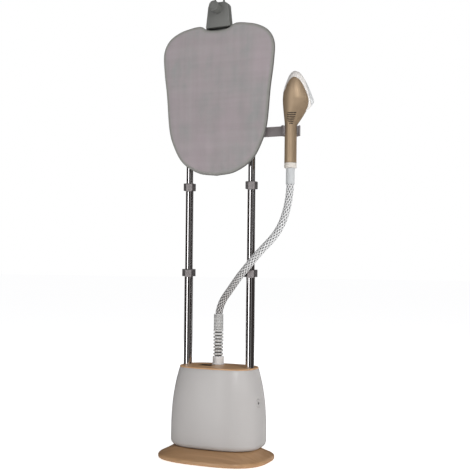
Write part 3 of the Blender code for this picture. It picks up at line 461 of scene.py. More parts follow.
def loft(name, rings, closed=False, poles=False):
    """A skin over rings of points, with a cap at both ends or closed from its last ring to its first.

    With poles, a cap is a fan round its ring's middle."""
    bm = bmesh.new()
    made = [[bm.verts.new(p) for p in ring] for ring in rings]
    count = len(rings[0])
    following = made[1:] + ([made[0]] if closed else [])
    for lower, upper in zip(made, following):
        for i in range(count):
            j = (i + 1) % count
            bm.faces.new((lower[i], lower[j], upper[j], upper[i]))
    if not closed:
        for ring in (made[0], made[-1]):
            if poles:
                middle = bm.verts.new(sum((v.co for v in ring), Vector()) / count)
                for i in range(count):
                    bm.faces.new((ring[i], ring[(i + 1) % count], middle))
            else:
                bm.faces.new(ring)
    return from_bmesh(name, bm)


def lathe(name, profile, centre=(0.0, 0.0), steps=64, closed=True):
    """A profile of (radius, height) turned about the vertical through centre."""
    rings = []
    for radius, height in profile:
        ring = []
        for step in range(steps):
            angle = 2 * math.pi * step / steps
            ring.append((centre[0] + radius * math.cos(angle), centre[1] + radius * math.sin(angle), height))
        rings.append(ring)
    return loft(name, rings, closed)


def prism(name, outline, low, high):
    """A flat outline in X and Y between two heights."""
    return loft(name, [[(x, y, low) for x, y in outline], [(x, y, high) for x, y in outline]])


def upright(name, outline, front, back):
    """A flat outline in X and Z between two depths in Y."""
    return loft(name, [[(x, front, z) for x, z in outline], [(x, back, z) for x, z in outline]])


def block(name, low, high):
    (x0, y0, z0), (x1, y1, z1) = low, high
    return prism(name, [(x0, y0), (x1, y0), (x1, y1), (x0, y1)], z0, z1)


def rod(name, start, end, radius, sides=32):
    start, end = Vector(start), Vector(end)
    along = end - start
    turn = along.to_track_quat("Z", "Y").to_matrix().to_4x4()
    bm = bmesh.new()
    place = Matrix.Translation((start + end) / 2) @ turn
    bmesh.ops.create_cone(bm, cap_ends=True, segments=sides, radius1=radius, radius2=radius,
                          depth=along.length, matrix=place)
    return from_bmesh(name, bm)


def upright_rod(name, place, low, high, radius, sides):
    return rod(name, (place.x, place.y, low), (place.x, place.y, high), radius, sides)


def level_rod(name, place, reach, radius, sides):
    """A rod along X that reaches to both sides of a place."""
    x, y, z = place
    return rod(name, (x - reach, y, z), (x + reach, y, z), radius, sides)


def settle(obj):
    """Makes the object's mesh what its modifiers give."""
    graph = bpy.context.evaluated_depsgraph_get()
    mesh = bpy.data.meshes.new_from_object(obj.evaluated_get(graph))
    obj.modifiers.clear()
    obj.data = mesh
    return obj


def combine(obj, operation, *tools):
    for tool in tools:
        step = obj.modifiers.new("combine", "BOOLEAN")
        step.operation = operation
        step.solver = "EXACT"
        step.object = tool
    settle(obj)
    for tool in tools:
        bpy.data.objects.remove(tool, do_unlink=True)
    return obj


def cut(obj, *tools):
    return combine(obj, "DIFFERENCE", *tools)


def keep(obj, *tools):
    return combine(obj, "INTERSECT", *tools)


def join(obj, *tools):
    return combine(obj, "UNION", *tools)


def ease(obj, width, segments=3, angle=40):
    """Rounds the edges that turn more sharply than angle."""
    bevel = obj.modifiers.new("ease", "BEVEL")
    bevel.width = width
    bevel.segments = segments
    bevel.limit_method = "ANGLE"
    bevel.angle_limit = math.radians(angle)
    return settle(obj)


def store(obj, attribute, values):
    """Keeps a number for each point of the mesh, which a material reads."""
    held = obj.data.attributes.new(attribute, "FLOAT", "POINT")
    held.data.foreach_set("value", np.asarray(values, np.float32))


def placed(obj, place):
    obj.data.transform(place)
    return obj


def finish_piece(obj, body, slot, *stands_for, sharp=40, material=None):
    """Shades the piece, gives it its slot's material or another and lets it ride on its body."""
    obj.data.materials.clear()
    obj.data.materials.append(material or FINISH[slot])
    obj.data.shade_smooth()
    obj.data.set_sharp_from_angle(angle=math.radians(sharp))
    if stands_for:
        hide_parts(*stands_for)
    if body:
        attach(obj, body)
    return obj


def turned_piece(node, ending, profile, body, slot, steps=64, sharp=32, material=None):
    """A profile turned on its node's upright axis, finished as the piece that stands for the node."""
    turned = lathe(node + ending, profile, box_of(node)[2].xy, steps)
    finish_piece(turned, body, slot, node, sharp=sharp, material=material)


def hole_for(node):
    """The middle of an upright round node, and the radius of a hole that clears it."""
    low, high, middle = box_of(node)
    return middle, (high.x - low.x) / 2 + CLEARANCE


def arc(centre, radius, start, end, steps):
    """Points on an arc from one angle to another, in degrees."""
    points = []
    for step in range(steps + 1):
        angle = math.radians(start + (end - start) * step / steps)
        points.append((centre[0] + radius * math.cos(angle), centre[1] + radius * math.sin(angle)))
    return points


def rounded_rectangle(half_w, half_d, radius, per_corner=16):
    points = []
    for corner, (sx, sy) in enumerate(((1, 1), (-1, 1), (-1, -1), (1, -1))):
        centre = (sx * (half_w - radius), sy * (half_d - radius))
        points += arc(centre, radius, 90 * corner, 90 * corner + 90, per_corner)
    return points


def smooth_line(points, per_span=12):
    """The Catmull-Rom curve through points of any dimension."""
    points = [Vector(p) for p in points]
    ends = [2 * points[0] - points[1], *points, 2 * points[-1] - points[-2]]
    fine = []
    for a, b, c, d in zip(ends, ends[1:], ends[2:], ends[3:]):
        for step in range(per_span):
            t = step / per_span
            fine.append(0.5 * (2 * b + (c - a) * t + (2 * a - 5 * b + 4 * c - d) * t * t
                               + (3 * b - a - 3 * c + d) * t * t * t))
    fine.append(points[-1])
    return fine


def even_points(line, count):
    """The same line as evenly spaced points."""
    lengths = [0.0]
    for p, q in zip(line, line[1:]):
        lengths.append(lengths[-1] + (q - p).length)
    made, at = [], 0
    for index in range(count):
        want = lengths[-1] * index / (count - 1)
        while at < len(line) - 2 and lengths[at + 1] < want:
            at += 1
        share = (want - lengths[at]) / max(1e-12, lengths[at + 1] - lengths[at])
        made.append(line[at].lerp(line[at + 1], share))
    return made, lengths[-1]


# ---- hose and its fittings
OUTLET = box_of("bend_guard")[2]
CUFF_MID = box_of("hose_cuff")[2]
HOSE_START, HOSE_SEAT, HOSE_END, HOSE_BORE = 0.440, 0.0010, 0.925, 0.0090
HOSE_ROUTE = [
    (-0.0240, 0.0500, HOSE_START), (-0.0240, 0.0500, 0.4480), (-0.0233, 0.0498, 0.4600),
    (-0.0212, 0.0492, 0.4735), (-0.0166, 0.0475, 0.4885), (-0.0081, 0.0436, 0.5050), (0.0050, 0.0361, 0.5215),
    (0.0228, 0.0247, 0.5390), (0.0417, 0.0102, 0.5560), (0.0607, -0.0060, 0.5725), (0.0795, -0.0207, 0.5890),
    (0.0980, -0.0323, 0.6050), (0.1155, -0.0405, 0.6210), (0.1318, -0.0455, 0.6375), (0.1480, -0.0480, 0.6540),
    (0.1690, -0.0485, 0.6755), (0.1915, -0.0457, 0.6990), (0.2105, -0.0400, 0.7230), (0.2235, -0.0335, 0.7470),
    (0.2323, -0.0270, 0.7720), (0.2387, -0.0210, 0.7990), (0.2430, -0.0165, 0.8270), (0.2457, -0.0132, 0.8550),
    (CUFF_MID.x, CUFF_MID.y, 0.8800), (CUFF_MID.x, CUFF_MID.y, 0.9020), (CUFF_MID.x, CUFF_MID.y, HOSE_END),
]
HOSE_DIAMETER = 0.024
BRAID_STRANDS, BRAID_PITCH, BRAID_DEPTH, BRAID_SIDES, BRAID_STEP = 8, 0.0082, 0.0014, 88, 0.0010
STRAND_HALF_WIDTH, STRAND_DIP = 0.26, 0.24
CORD_POINTS = 160


def braid_height(around, along):
    """How high the braid stands, 0 in a gap and 1 on a crossing, for two families of strands."""
    turn, rise = BRAID_STRANDS * around / (2 * math.pi), along / (2 * BRAID_PITCH)
    heights = []
    for mine, other, sign in ((turn + rise, turn - rise, 1), (turn - rise, turn + rise, -1)):
        across = (np.mod(mine, 1.0) - 0.5) / STRAND_HALF_WIDTH
        strand = np.sqrt(np.clip(1.0 - across ** 2, 0.0, 1.0))
        wave = np.cos(math.pi * (other - 0.5 + np.floor(mine)))
        heights.append(strand * (1 - STRAND_DIP + STRAND_DIP * sign * wave))
    return np.maximum(*heights)


def make_hose():
    line = smooth_line(HOSE_ROUTE)
    length = even_points(line, 2)[1]
    count = int(length / BRAID_STEP)
    centres, _ = even_points(line, count)
    side = Vector((1, 0, 0))
    around = np.arange(BRAID_SIDES) * 2 * math.pi / BRAID_SIDES
    rings, heights = [], []
    for index, centre in enumerate(centres):
        ahead = (centres[min(index + 1, count - 1)] - centres[max(index - 1, 0)]).normalized()
        side = (side - ahead * side.dot(ahead)).normalized()
        up = ahead.cross(side)
        height = braid_height(around, length * index / (count - 1))
        reach = HOSE_DIAMETER / 2 - BRAID_DEPTH * (1 - height)
        off_centre = np.outer(reach * np.cos(around), side) + np.outer(reach * np.sin(around), up)
        rings.append((np.array(centre) + off_centre).tolist())
        heights.append(height)
    hose = loft("steam_hose_braid", rings)
    store(hose, "braid_height", np.concatenate(heights))
    finish_piece(hose, None, "hose", "steam_hose", sharp=70)
    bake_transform(hose)
    path, _ = even_points(line, CORD_POINTS)


def make_hose_fittings():
    low, high, _ = box_of("hose_collar")
    radius, flange, fillet, lip = 0.0188, (high.x - low.x) / 2, 0.0025, 0.0010
    profile = [(HOSE_BORE, low.z), (flange, low.z), (flange, low.z + 0.0012)]
    profile += [(flange - 0.0006, low.z + 0.0018), (radius + 0.0006, low.z + 0.0030)]
    profile += [(radius, low.z + 0.0045), (radius, high.z - fillet)]
    profile += arc((radius - fillet, high.z - fillet), fillet, 0, 90, 6)[1:]
    profile += [(0.0130, high.z), (0.0125, high.z - lip), (HOSE_BORE, high.z - lip)]
    turned_piece("hose_collar", "_moulded", profile, "base", "white_plastic", material=COLLAR_PAINTED_LIGHTER)
    make_bend_guard()


GUARD_RIBS, GUARD_SLEEVE_LOW, GUARD_ROOT, GUARD_RIB, GUARD_SLEEVE = 8, 0.414, 0.0112, 0.0168, 0.0160
SLEEVE_BORE, SLEEVE_RING, SLEEVE_GROOVE = 0.0146, 0.0048, GUARD_SLEEVE - 0.0011
SLEEVE_RIPPLE = (  # share of a ring, radius
    (0.0, SLEEVE_GROOVE), (0.20, GUARD_SLEEVE - 0.0002), (0.45, GUARD_SLEEVE), (0.70, GUARD_SLEEVE - 0.0002),
    (0.90, SLEEVE_GROOVE),
)


def make_bend_guard():
    """Rounded ribs on a thin root, then a finely ringed sleeve that the hose comes out of."""
    low, high, middle = box_of("bend_guard")
    pitch, rib_deep = (GUARD_SLEEVE_LOW - low.z) / GUARD_RIBS, 0.0030
    profile = [(HOSE_BORE, low.z)]
    for rib in range(GUARD_RIBS):
        base = low.z + rib * pitch
        profile += [(GUARD_ROOT, base), (GUARD_ROOT, base + 0.26 * pitch)]
        for turn in range(0, 181, 20):
            out, up = math.sin(math.radians(turn)), -math.cos(math.radians(turn))
            profile.append((GUARD_RIB - rib_deep + rib_deep * out, base + pitch * (0.64 + 0.34 * up)))
    for ring in range(int((high.z - 0.002 - GUARD_SLEEVE_LOW) / SLEEVE_RING)):
        base = GUARD_SLEEVE_LOW + 0.0010 + ring * SLEEVE_RING
        profile += [(radius, base + share * SLEEVE_RING) for share, radius in SLEEVE_RIPPLE]
    profile += [(GUARD_SLEEVE, high.z - 0.0020), (GUARD_SLEEVE, high.z - 0.0008)]
    profile += [(GUARD_SLEEVE - 0.0004, high.z), (SLEEVE_BORE, high.z)]
    profile += [(radius, HOSE_START - HOSE_SEAT) for radius in (SLEEVE_BORE, HOSE_BORE)]
    guard = lathe("bend_guard_ribbed", profile, middle.xy, 72)
    # Relief is 0 in a groove and 1 on a rib or ring top; the material paints shade where it is low.
    relief = []
    for vertex in guard.data.vertices:
        lowest = SLEEVE_GROOVE if vertex.co.z > GUARD_SLEEVE_LOW else GUARD_ROOT + 0.0004
        reach = (vertex.co.xy - middle.xy).length
        relief.append((reach - lowest) / (GUARD_SLEEVE - 0.0004 - lowest))
    store(guard, "relief", np.clip(relief, 0.0, 1.0))
    finish_piece(guard, "base", "white_plastic", "bend_guard", sharp=60, material=GUARD_RUBBER)


# ---- base plate and body
BODY_TOP = box_of("top_plate")[0].z
BODY_LOW, BODY_HIGH, _ = box_of("front_housing")
TANK_LOW = box_of("water_tank")[0]
BODY_HALF_WIDTH, BODY_TOP_WIDTH, BODY_HALF_DEPTH, BODY_TOP_DEPTH = 0.155, 0.130, 0.105, 0.080
BODY_WIDEST_Z, BODY_EDGE, BODY_TAPER_POWER, BODY_Y, WALL = 0.075, 0.018, 2.5, 0.006, 0.003
SEAM_Y, SEAM_GAP = (BODY_HIGH.y + TANK_LOW.y) / 2, 0.00015
BODY_BLOCK = (-0.3, -0.3, -0.1), (0.3, 0.3, 0.5)
OPEN_TOP = -0.02
SQUARENESS = 2.8
BASE_PROFILE = [  # height, inset from the rim
    (0.0020, 0.0060), (0.0035, 0.0020), (0.0070, 0.0), (0.0120, 0.0), (0.0165, 0.0025), (0.0200, 0.0090),
    (0.0290, 0.0270), (0.0365, 0.0400), (0.0400, 0.0480),
]


def superellipse(half_w, half_d, centre_y, count=160):
    """An oval between an ellipse and a rectangle, in X and Y."""
    points = []
    for step in range(count):
        angle = 2 * math.pi * (step + 0.5) / count
        x, y = math.cos(angle), math.sin(angle)
        points.append((math.copysign(abs(x) ** (2 / SQUARENESS), x) * half_w,
                       math.copysign(abs(y) ** (2 / SQUARENESS), y) * half_d + centre_y))
    return points


def body_ring(z, inset=0.0):
    """The body's outline at a height: it narrows upwards and its lower edge is rounded in."""
    share = max(0.0, (z - BODY_WIDEST_Z) / (BODY_TOP - BODY_WIDEST_Z)) ** BODY_TAPER_POWER
    half_w = BODY_HALF_WIDTH - (BODY_HALF_WIDTH - BODY_TOP_WIDTH) * share
    half_d = BODY_HALF_DEPTH - (BODY_HALF_DEPTH - BODY_TOP_DEPTH) * share
    below = BODY_LOW.z + BODY_EDGE - z
    if below > 0:
        inset += BODY_EDGE - math.sqrt(max(0.0, BODY_EDGE ** 2 - below ** 2))
    return [(x, y, z) for x, y in superellipse(half_w - inset, half_d - inset, BODY_Y)]


def body_form(name, inset=0.0, low=0.0, high=0.0):
    """The body's form between two heights, given as steps up from its foot and down from its top."""
    foot, top, edge_top = BODY_LOW.z + low, BODY_HIGH.z - high, BODY_LOW.z + BODY_EDGE
    heights = [foot + (edge_top - foot) * s for s in (0.0, 0.02, 0.07, 0.15, 0.26, 0.40, 0.57, 0.77)]
    heights += [edge_top + (top - edge_top) * step / 20 for step in range(21)]
    return loft(name, [body_ring(z, inset) for z in heights])


def make_base_plate():
    """A low mound: a thick rounded rim, then a gentle slope up to the flat that the body stands on."""
    low, high, _ = box_of("base_plate")
    half_w, half_d, middle_y = (high.x - low.x) / 2, (high.y - low.y) / 2, (high.y + low.y) / 2
    rings = []
    for z, inset in smooth_line(BASE_PROFILE, 5):
        inset = max(0.0, inset)
        rings.append([(x, y, z) for x, y in superellipse(half_w - inset, half_d - inset, middle_y)])
    finish_piece(loft("base_plate_lacquered", rings), "base", "bronze_wood", "base_plate", sharp=50)


def body_half(name, behind, gap=SEAM_GAP):
    """A block over the body's half in front of the seam, or behind it, and a gap away from the seam."""
    low, high = (Vector(corner) for corner in BODY_BLOCK)
    if behind:
        low.y = SEAM_Y + gap
    else:
        high.y = SEAM_Y - gap
    return block(name, low, high)


def side_rod(name, node, radius, reach=0.040):
    """A rod through the side wall, on the axis of a round node there."""
    return level_rod(name, box_of(node)[2], reach, radius, 48)


BUTTON_THICK, BUTTON_GAP, GLAND_HOLE_R = 0.006, 0.0012, 0.0065
DIMPLE_R, DIMPLE_DEEP, DIMPLE_REACH = 0.0047, 0.0012, 0.0300
INLAY_R, INLAY_FACE, INLAY_BACK = 0.0045, 0.0006, 0.0011


def make_housing():
    housing = body_form("front_cover")
    cut(housing, body_form("hollow", WALL, WALL, OPEN_TOP))
    keep(housing, body_half("front", False))
    low, high, _ = box_of("power_button")
    button_radius = (high.z - low.z) / 2
    cut(housing, side_rod("button_hole", "power_button", button_radius + BUTTON_GAP),
        side_rod("gland_hole", "cord_gland", GLAND_HOLE_R))
    ease(housing, 0.0005, 2, 50)
    finish_piece(housing, "base", "body_grey", "front_housing")

    button = body_form("round_button")
    keep(button, side_rod("button_round", "power_button", button_radius))
    cut(button, body_form("button_inner", BUTTON_THICK, WALL, OPEN_TOP))
    dimple = side_rod("dimple", "power_button", DIMPLE_R, DIMPLE_REACH)
    keep(dimple, body_form("dimple_depth"))
    cut(dimple, body_form("dimple_floor", DIMPLE_DEEP))
    cut(button, dimple)
    ease(button, 0.0006, 2, 50)
    finish_piece(button, "power_button", "body_grey", "power_button")
    inlay = side_rod("power_button_inlay", "power_button", INLAY_R, DIMPLE_REACH)
    keep(inlay, body_form("inlay_face", INLAY_FACE))
    cut(inlay, body_form("inlay_back", INLAY_BACK, WALL, OPEN_TOP))
    finish_piece(inlay, "power_button", "black_gloss", sharp=32)


FLAP_MOUTH_Z, NOTCH_HALF, NOTCH_LOW, NOTCH_HIGH = 0.252, 0.013, 0.258, 0.40


def rear_wall_frame():
    """A frame at the middle of the flap's opening, with Y out of the leaning rear wall."""
    step = 0.012
    levels = (FLAP_MOUTH_Z - step, FLAP_MOUTH_Z, FLAP_MOUTH_Z + step)
    rear = [max(y for _, y, _ in body_ring(z)) for z in levels]
    lean = math.atan2(rear[0] - rear[2], 2 * step)
    place = Matrix.Translation((box_of("filler_flap")[2].x, rear[1], FLAP_MOUTH_Z))
    return place @ Matrix.Rotation(lean, 4, "X")


def make_tank():
    """The body's rear half, hollow, with a notch for the steam pipe and the filler mouth in its rear wall."""
    tank = body_form("rear_tank", high=CLEARANCE)
    keep(tank, body_half("behind", True))
    notch_low = Vector((OUTLET.x - NOTCH_HALF, 0.0, NOTCH_LOW))
    notch_high = Vector((OUTLET.x + NOTCH_HALF, OUTLET.y + 0.016, NOTCH_HIGH))
    around = Vector((WALL, WALL, WALL))
    hollow = body_form("tank_hollow", WALL, WALL, WALL + CLEARANCE)
    keep(hollow, body_half("hollow_half", True, WALL))
    cut(hollow, block("hollow_notch", notch_low - around, notch_high + around))
    cut(tank, block("pipe_notch", notch_low, notch_high))
    cut(tank, hollow)
    mouth = prism("mouth", rounded_rectangle(0.028, 0.014, 0.005, 6), -0.02, 0.02)
    cut(tank, placed(mouth, rear_wall_frame() @ Matrix.Rotation(math.pi / 2, 4, "X")))
    ease(tank, 0.0005, 2, 50)
    finish_piece(tank, "tank", "tank_grey", "water_tank")


def make_filler_flap():
    """The lid over the filler mouth, with a thumb lip along its top and a hinge barrel along its foot."""
    half_wide, half_high, off, thick = 0.033, 0.019, 0.0008, 0.0025
    lip_half, barrel_r, pin_r, pin_reach = 0.012, 0.0028, 0.0012, 0.05
    flap = prism("filler_lid", rounded_rectangle(half_wide, half_high, 0.006, 8), off, off + thick)
    placed(flap, Matrix.Rotation(-math.pi / 2, 4, "X") @ Matrix.Scale(-1, 4, (0, 1, 0)))
    ease(flap, 0.0008, 3, 50)
    lip_low = (-lip_half, off + thick - 0.0006, half_high - 0.0045)
    lip = block("lip", lip_low, (lip_half, off + thick + 0.0016, half_high - 0.001))
    ease(lip, 0.0007, 2)
    hinge = (0.0, off + 0.0028, -half_high - 0.0015)
    join(flap, lip, level_rod("knuckle", hinge, half_wide - 0.012, barrel_r, 28))
    cut(flap, level_rod("pin_bore", hinge, pin_reach, pin_r, 20))
    finish_piece(placed(flap, rear_wall_frame()), "filler_flap", "tank_grey", "filler_flap")


def make_top_plate():
    low, high, _ = box_of("top_plate")
    crown, foot = 0.0016, 0.0004
    profile = [(foot, low.z), (0.0, low.z + foot)]
    for turn in range(0, 91, 15):
        rise, inward = math.sin(math.radians(turn)), 1 - math.cos(math.radians(turn))
        profile.append((crown * inward, high.z - crown * (1 - rise)))
    rings = []
    for inset, z in profile:
        outline = superellipse(BODY_TOP_WIDTH - inset, BODY_TOP_DEPTH - inset, BODY_Y)
        rings.append([(x, y, z) for x, y in outline])
    plate = loft("top_plate_lacquered", rings)
    below, above = low.z - 0.05, high.z + 0.05
    tools = []
    for side in ("left", "right"):
        pole, radius = hole_for(f"lower_tube_{side}")
        tools.append(upright_rod("hole", pole, below, above, radius, 64))
    tools.append(upright_rod("outlet", OUTLET, below, above, HOSE_BORE, 48))
    panel_low, panel_high, _ = box_of("control_panel")
    gap = Vector((CLEARANCE, CLEARANCE, CLEARANCE))
    tools.append(block("recess", panel_low - gap, panel_high + gap + Vector((0, 0, 0.02))))
    cut(plate, *tools)
    finish_piece(plate, "base", "bronze_wood", "top_plate", material=TOP_WOOD_PAINTED_LIGHTER)
    panel = ease(block("control_glass", panel_low, panel_high + Vector((0, 0, 0.0006))), 0.0004, 2)
    finish_piece(panel, "base", "black_gloss", "control_panel", sharp=32)


# ---- poles and clamps
def make_tube(node, body):
    """A drawn tube with eased rims."""
    low, high, _ = box_of(node)
    radius, wall, rim = (high.x - low.x) / 2, 0.0013, 0.0003
    inner = radius - wall
    profile = [(inner, low.z), (radius - rim, low.z), (radius, low.z + rim), (radius, high.z - rim),
               (radius - rim, high.z), (inner + rim, high.z), (inner, high.z - rim)]
    turned_piece(node, "_drawn", profile, body, "chrome", 72, 30)


def make_clamp(node, body, tube_node):
    """A split collar with rounded corners, a clamping gap behind its lever and two ribs on each side."""
    low, high, middle = box_of(node)
    half_w, half_d = (high.x - low.x) / 2, (high.y - low.y) / 2
    gap_half, groove_half, groove_deep, groove_tall, past = 0.0012, 0.009, 0.0007, 0.0010, 0.01
    clamp = prism(node + "_moulded", rounded_rectangle(half_w, half_d, 0.0055, 8), low.z, high.z)
    placed(clamp, Matrix.Translation((middle.x, middle.y, 0)))
    ease(clamp, 0.0014, 3, 50)
    tools = [upright_rod("bore", middle, low.z - past, high.z + past, hole_for(tube_node)[1], 64)]
    tools.append(block("gap", (middle.x - gap_half, low.y - past, low.z - past),
                       (middle.x + gap_half, middle.y, high.z + past)))
    groove = Vector((groove_deep, groove_half, groove_tall))
    for side in (-half_w, half_w):
        for level in (-0.005, 0.005):
            spot = middle + Vector((side, 0, level))
            tools.append(block("groove", spot - groove, spot + groove))
    cut(clamp, *tools)
    finish_piece(clamp, body, "clamp_grey", node)


def make_lever(node):
    """A flip lever with a bowed face, a finger lip at its free end and a round hinge end."""
    low, high, _ = box_of(node)
    pin_r = (high.y - low.y) / 2
    outline = [(low.x + 0.0008, high.y), (low.x, high.y - 0.0010), (low.x - 0.0002, low.y + 0.0014)]
    outline += [(low.x + 0.0012, low.y + 0.0002), (low.x + 0.0035, low.y + 0.0009)]
    outline += [(low.x + 0.010, low.y + 0.0004), (low.x + 0.016, low.y)]
    outline += arc((high.x - pin_r, low.y + pin_r), pin_r, -90, 90, 8)
    lever = ease(prism(node + "_moulded", outline, low.z, high.z), 0.0007, 3, 50)
    finish_piece(lever, node, "clamp_grey", node, material=LEVER_PAINTED_LIGHTER)


def make_poles():
    for side in ("left", "right"):
        make_tube(f"lower_tube_{side}", "base")
        make_tube(f"middle_tube_{side}", f"middle_{side}")
        make_tube(f"upper_tube_{side}", "upper")
        make_clamp(f"lower_clamp_{side}", "base", f"lower_tube_{side}")
        make_clamp(f"upper_clamp_{side}", f"middle_{side}", f"middle_tube_{side}")
        make_lever(f"lower_lever_{side}")
        make_lever(f"upper_lever_{side}")


# ---- bridge, head and board
def make_bridge():
    low, high, middle = box_of("pole_bridge")
    bridge = prism("pole_bridge_moulded", rounded_rectangle(high.x, high.y, 0.0095, 8), low.z, high.z)
    ease(bridge, 0.003, 4, 50)
    tools, recess_r, recess_deep = [], 0.0045, 0.0015
    for side in ("left", "right"):
        pole, radius = hole_for(f"upper_tube_{side}")
        pole_top = box_of(f"upper_tube_{side}")[1].z
        tools.append(upright_rod("hole", pole, low.z - 0.02, pole_top + CLEARANCE, radius, 48))
        screw_x = pole.x * 0.55
        floor, out = (screw_x, high.y - recess_deep, middle.z), (screw_x, high.y + 0.01, middle.z)
        tools.append(rod("screw_recess", floor, out, recess_r))
    cut(bridge, *tools)
    finish_piece(bridge, "upper", "head_grey", "pole_bridge")


POST_HALF, POST_FOOT_TOP = 0.026, 1.404
HEAD_TOP, HEAD_HALF_TOP, HEAD_CORNER = 1.474, 0.036, 0.018
PRONG_X, PRONG_R, PRONG_CAP = 0.0155, 0.003, 0.0024
TIP = 0.0001


def make_head():
    """The post with its wide foot, the head with two prongs on top, and the peg at its front."""
    low, high, middle = box_of("head_post")
    parts = []
    for half_wide, top in ((POST_HALF, high.z), (high.x, POST_FOOT_TOP)):
        outline = [(x, y + middle.y) for x, y in rounded_rectangle(half_wide, (high.y - low.y) / 2, 0.003, 6)]
        parts.append(prism("head_post_moulded", outline, low.z, top))
    post = ease(join(*parts), 0.0015, 3, 50)
    finish_piece(post, "upper", "head_grey", "head_post")

    low, high, middle = box_of("hanger_head")
    outline = [(low.x, low.z), (high.x, low.z)]
    outline += arc((HEAD_HALF_TOP - HEAD_CORNER, HEAD_TOP - HEAD_CORNER), HEAD_CORNER, 0, 90, 14)
    outline += arc((HEAD_CORNER - HEAD_HALF_TOP, HEAD_TOP - HEAD_CORNER), HEAD_CORNER, 90, 180, 14)
    head = ease(upright("hanger_head_moulded", outline, low.y, high.y), 0.0022, 4, 50)
    profile = [(TIP, HEAD_TOP - 0.006), (PRONG_R, HEAD_TOP - 0.006), (PRONG_R, high.z - PRONG_CAP)]
    for turn in (20, 40, 60, 78):
        out, up = math.cos(math.radians(turn)), math.sin(math.radians(turn))
        profile.append((PRONG_R * out, high.z - PRONG_CAP * (1 - up)))
    profile.append((TIP, high.z))
    join(head, *[lathe("prong", profile, (x, middle.y), 28, closed=False) for x in (-PRONG_X, PRONG_X)])
    finish_piece(head, "upper", "head_grey", "hanger_head")

    low, high, middle = box_of("hanger_peg")
    radius, length, edge, groove = (high.x - low.x) / 2, high.y - low.y, 0.0022, 0.0008
    profile = [(TIP, 0.0), (radius, 0.0), (radius, length - edge)]
    profile += arc((radius - edge, length - edge), edge, 0, 90, 5)[1:]
    profile += [(radius - 0.0045, length), (radius - 0.0050, length - groove)]
    profile += [(radius - 0.0058, length - groove), (radius - 0.0063, length), (TIP, length)]
    peg = lathe("hanger_peg_moulded", profile, closed=False)
    placed(peg, Matrix.Translation((middle.x, high.y, middle.z)) @ Matrix.Rotation(math.pi / 2, 4, "X"))
    finish_piece(peg, "upper", "head_grey", "hanger_peg")


BOARD_HALF_OUTLINE = [
    (0.000, 1.3835), (0.030, 1.3862), (0.044, 1.3912), (0.054, 1.3985), (0.068, 1.4020), (0.094, 1.3995),
    (0.138, 1.3888), (0.176, 1.3655), (0.196, 1.3250), (0.1935, 1.2600), (0.184, 1.1850), (0.1735, 1.0720),
    (0.155, 1.0120), (0.122, 0.9590), (0.064, 0.9240), (0.000, 0.9140),
]
BOARD_MIDDLE = Vector((0.0, 1.16))
PAD_POINTS = 97


def board_outline(inset=0.0, per_half=PAD_POINTS):
    """The board's outline in X and Z as evenly spaced points, moved in towards its middle."""
    half, _ = even_points(smooth_line(BOARD_HALF_OUTLINE), per_half)
    points = half + [Vector((-p.x, p.y)) for p in reversed(half[1:-1])]
    return [p - (p - BOARD_MIDDLE).normalized() * inset for p in points]


RIM_POINTS = board_outline(0.0006)
RIB_HIGH, RIB_HALF, RIB_X, RIB_LOW_Z, SPINE_LOW_Z, RIB_PAST = 0.0025, 0.0030, 0.067, 0.975, 0.960, 0.05


def make_board_panel():
    """The rigid panel: its rim is eased, and low ribs on its back tie the brackets together."""
    low, high, _ = box_of("press_panel")
    panel = upright("press_panel_moulded", [tuple(p) for p in board_outline(0.002)], low.y, high.y)
    ease(panel, 0.0010, 2, 50)
    upper_z, lower_z = (box_of(f"board_bracket_{row}_left")[2].z for row in ("upper", "lower"))
    top = upper_z + RIB_PAST
    bars = [(0.0, upper_z - 0.021, 0.150, RIB_HALF), (0.0, lower_z - 0.021, 0.130, RIB_HALF)]
    for x, foot in ((0.0, SPINE_LOW_Z), (-RIB_X, RIB_LOW_Z), (RIB_X, RIB_LOW_Z)):
        bars.append((x, (foot + top) / 2, RIB_HALF, (top - foot) / 2))
    ribs = [block("rib", (x - wide, high.y - 0.001, z - tall), (x + wide, high.y + RIB_HIGH, z + tall))
            for x, z, wide, tall in bars]
    join(panel, *ribs)
    finish_piece(panel, "upper", "inner_plastic", "press_panel")


def ring_points(share, depth):
    """The pad's rim at a share of its size about the board's middle, at a depth in Y."""
    ring = []
    for p in RIM_POINTS:
        x, z = BOARD_MIDDLE + (p - BOARD_MIDDLE) * share
        ring.append((x, depth, z))
    return ring


PAD_SIM_FRAMES, PAD_CAP, PAD_PRESSURE = 20, 0.0026, 4.0
PAD_HELD_RIM, PAD_HELD_BACK, BORDER_WIDE, PAD_THIN = 0.004, 0.0018, 0.016, 0.0016
PAD_RIM_RISE = (  # share of the rim's size, share of the thickness
    (1.000, 0.22), (0.9985, 0.40), (0.996, 0.52), (0.991, 0.64), (0.982, 0.76), (0.968, 0.87), (0.950, 0.94),
    (0.925, 0.98),
)
PAD_BACK_SHARES, PAD_FRONT_RINGS = (0.06, 0.2, 0.4, 0.6, 0.8, 0.93, 0.985, 0.9985), 22


def make_press_pad():
    """The padded cover: wadding under taut cloth, crowned by a cloth simulation that its rim holds."""
    low, high, _ = box_of("press_pad")
    rise_deep = high.y - low.y - PAD_THIN
    rings = [ring_points(share, high.y) for share in PAD_BACK_SHARES]
    rings += [ring_points(share, high.y - rise_deep * rise - 0.0002) for share, rise in PAD_RIM_RISE]
    for step in range(PAD_FRONT_RINGS):
        rings.append(ring_points(0.90 * (1 - step / PAD_FRONT_RINGS), low.y + PAD_THIN))
    pad = loft("press_pad_cover", rings, poles=True)
    swell_pad(pad, high.y)
    # from_rim lets the cloth's material paint shade near the outline.
    store(pad, "from_rim", [min(1.0, rim_distance(v.co) / BORDER_WIDE) for v in pad.data.vertices])
    return finish_piece(pad, "upper", "fabric", "press_pad", sharp=70)


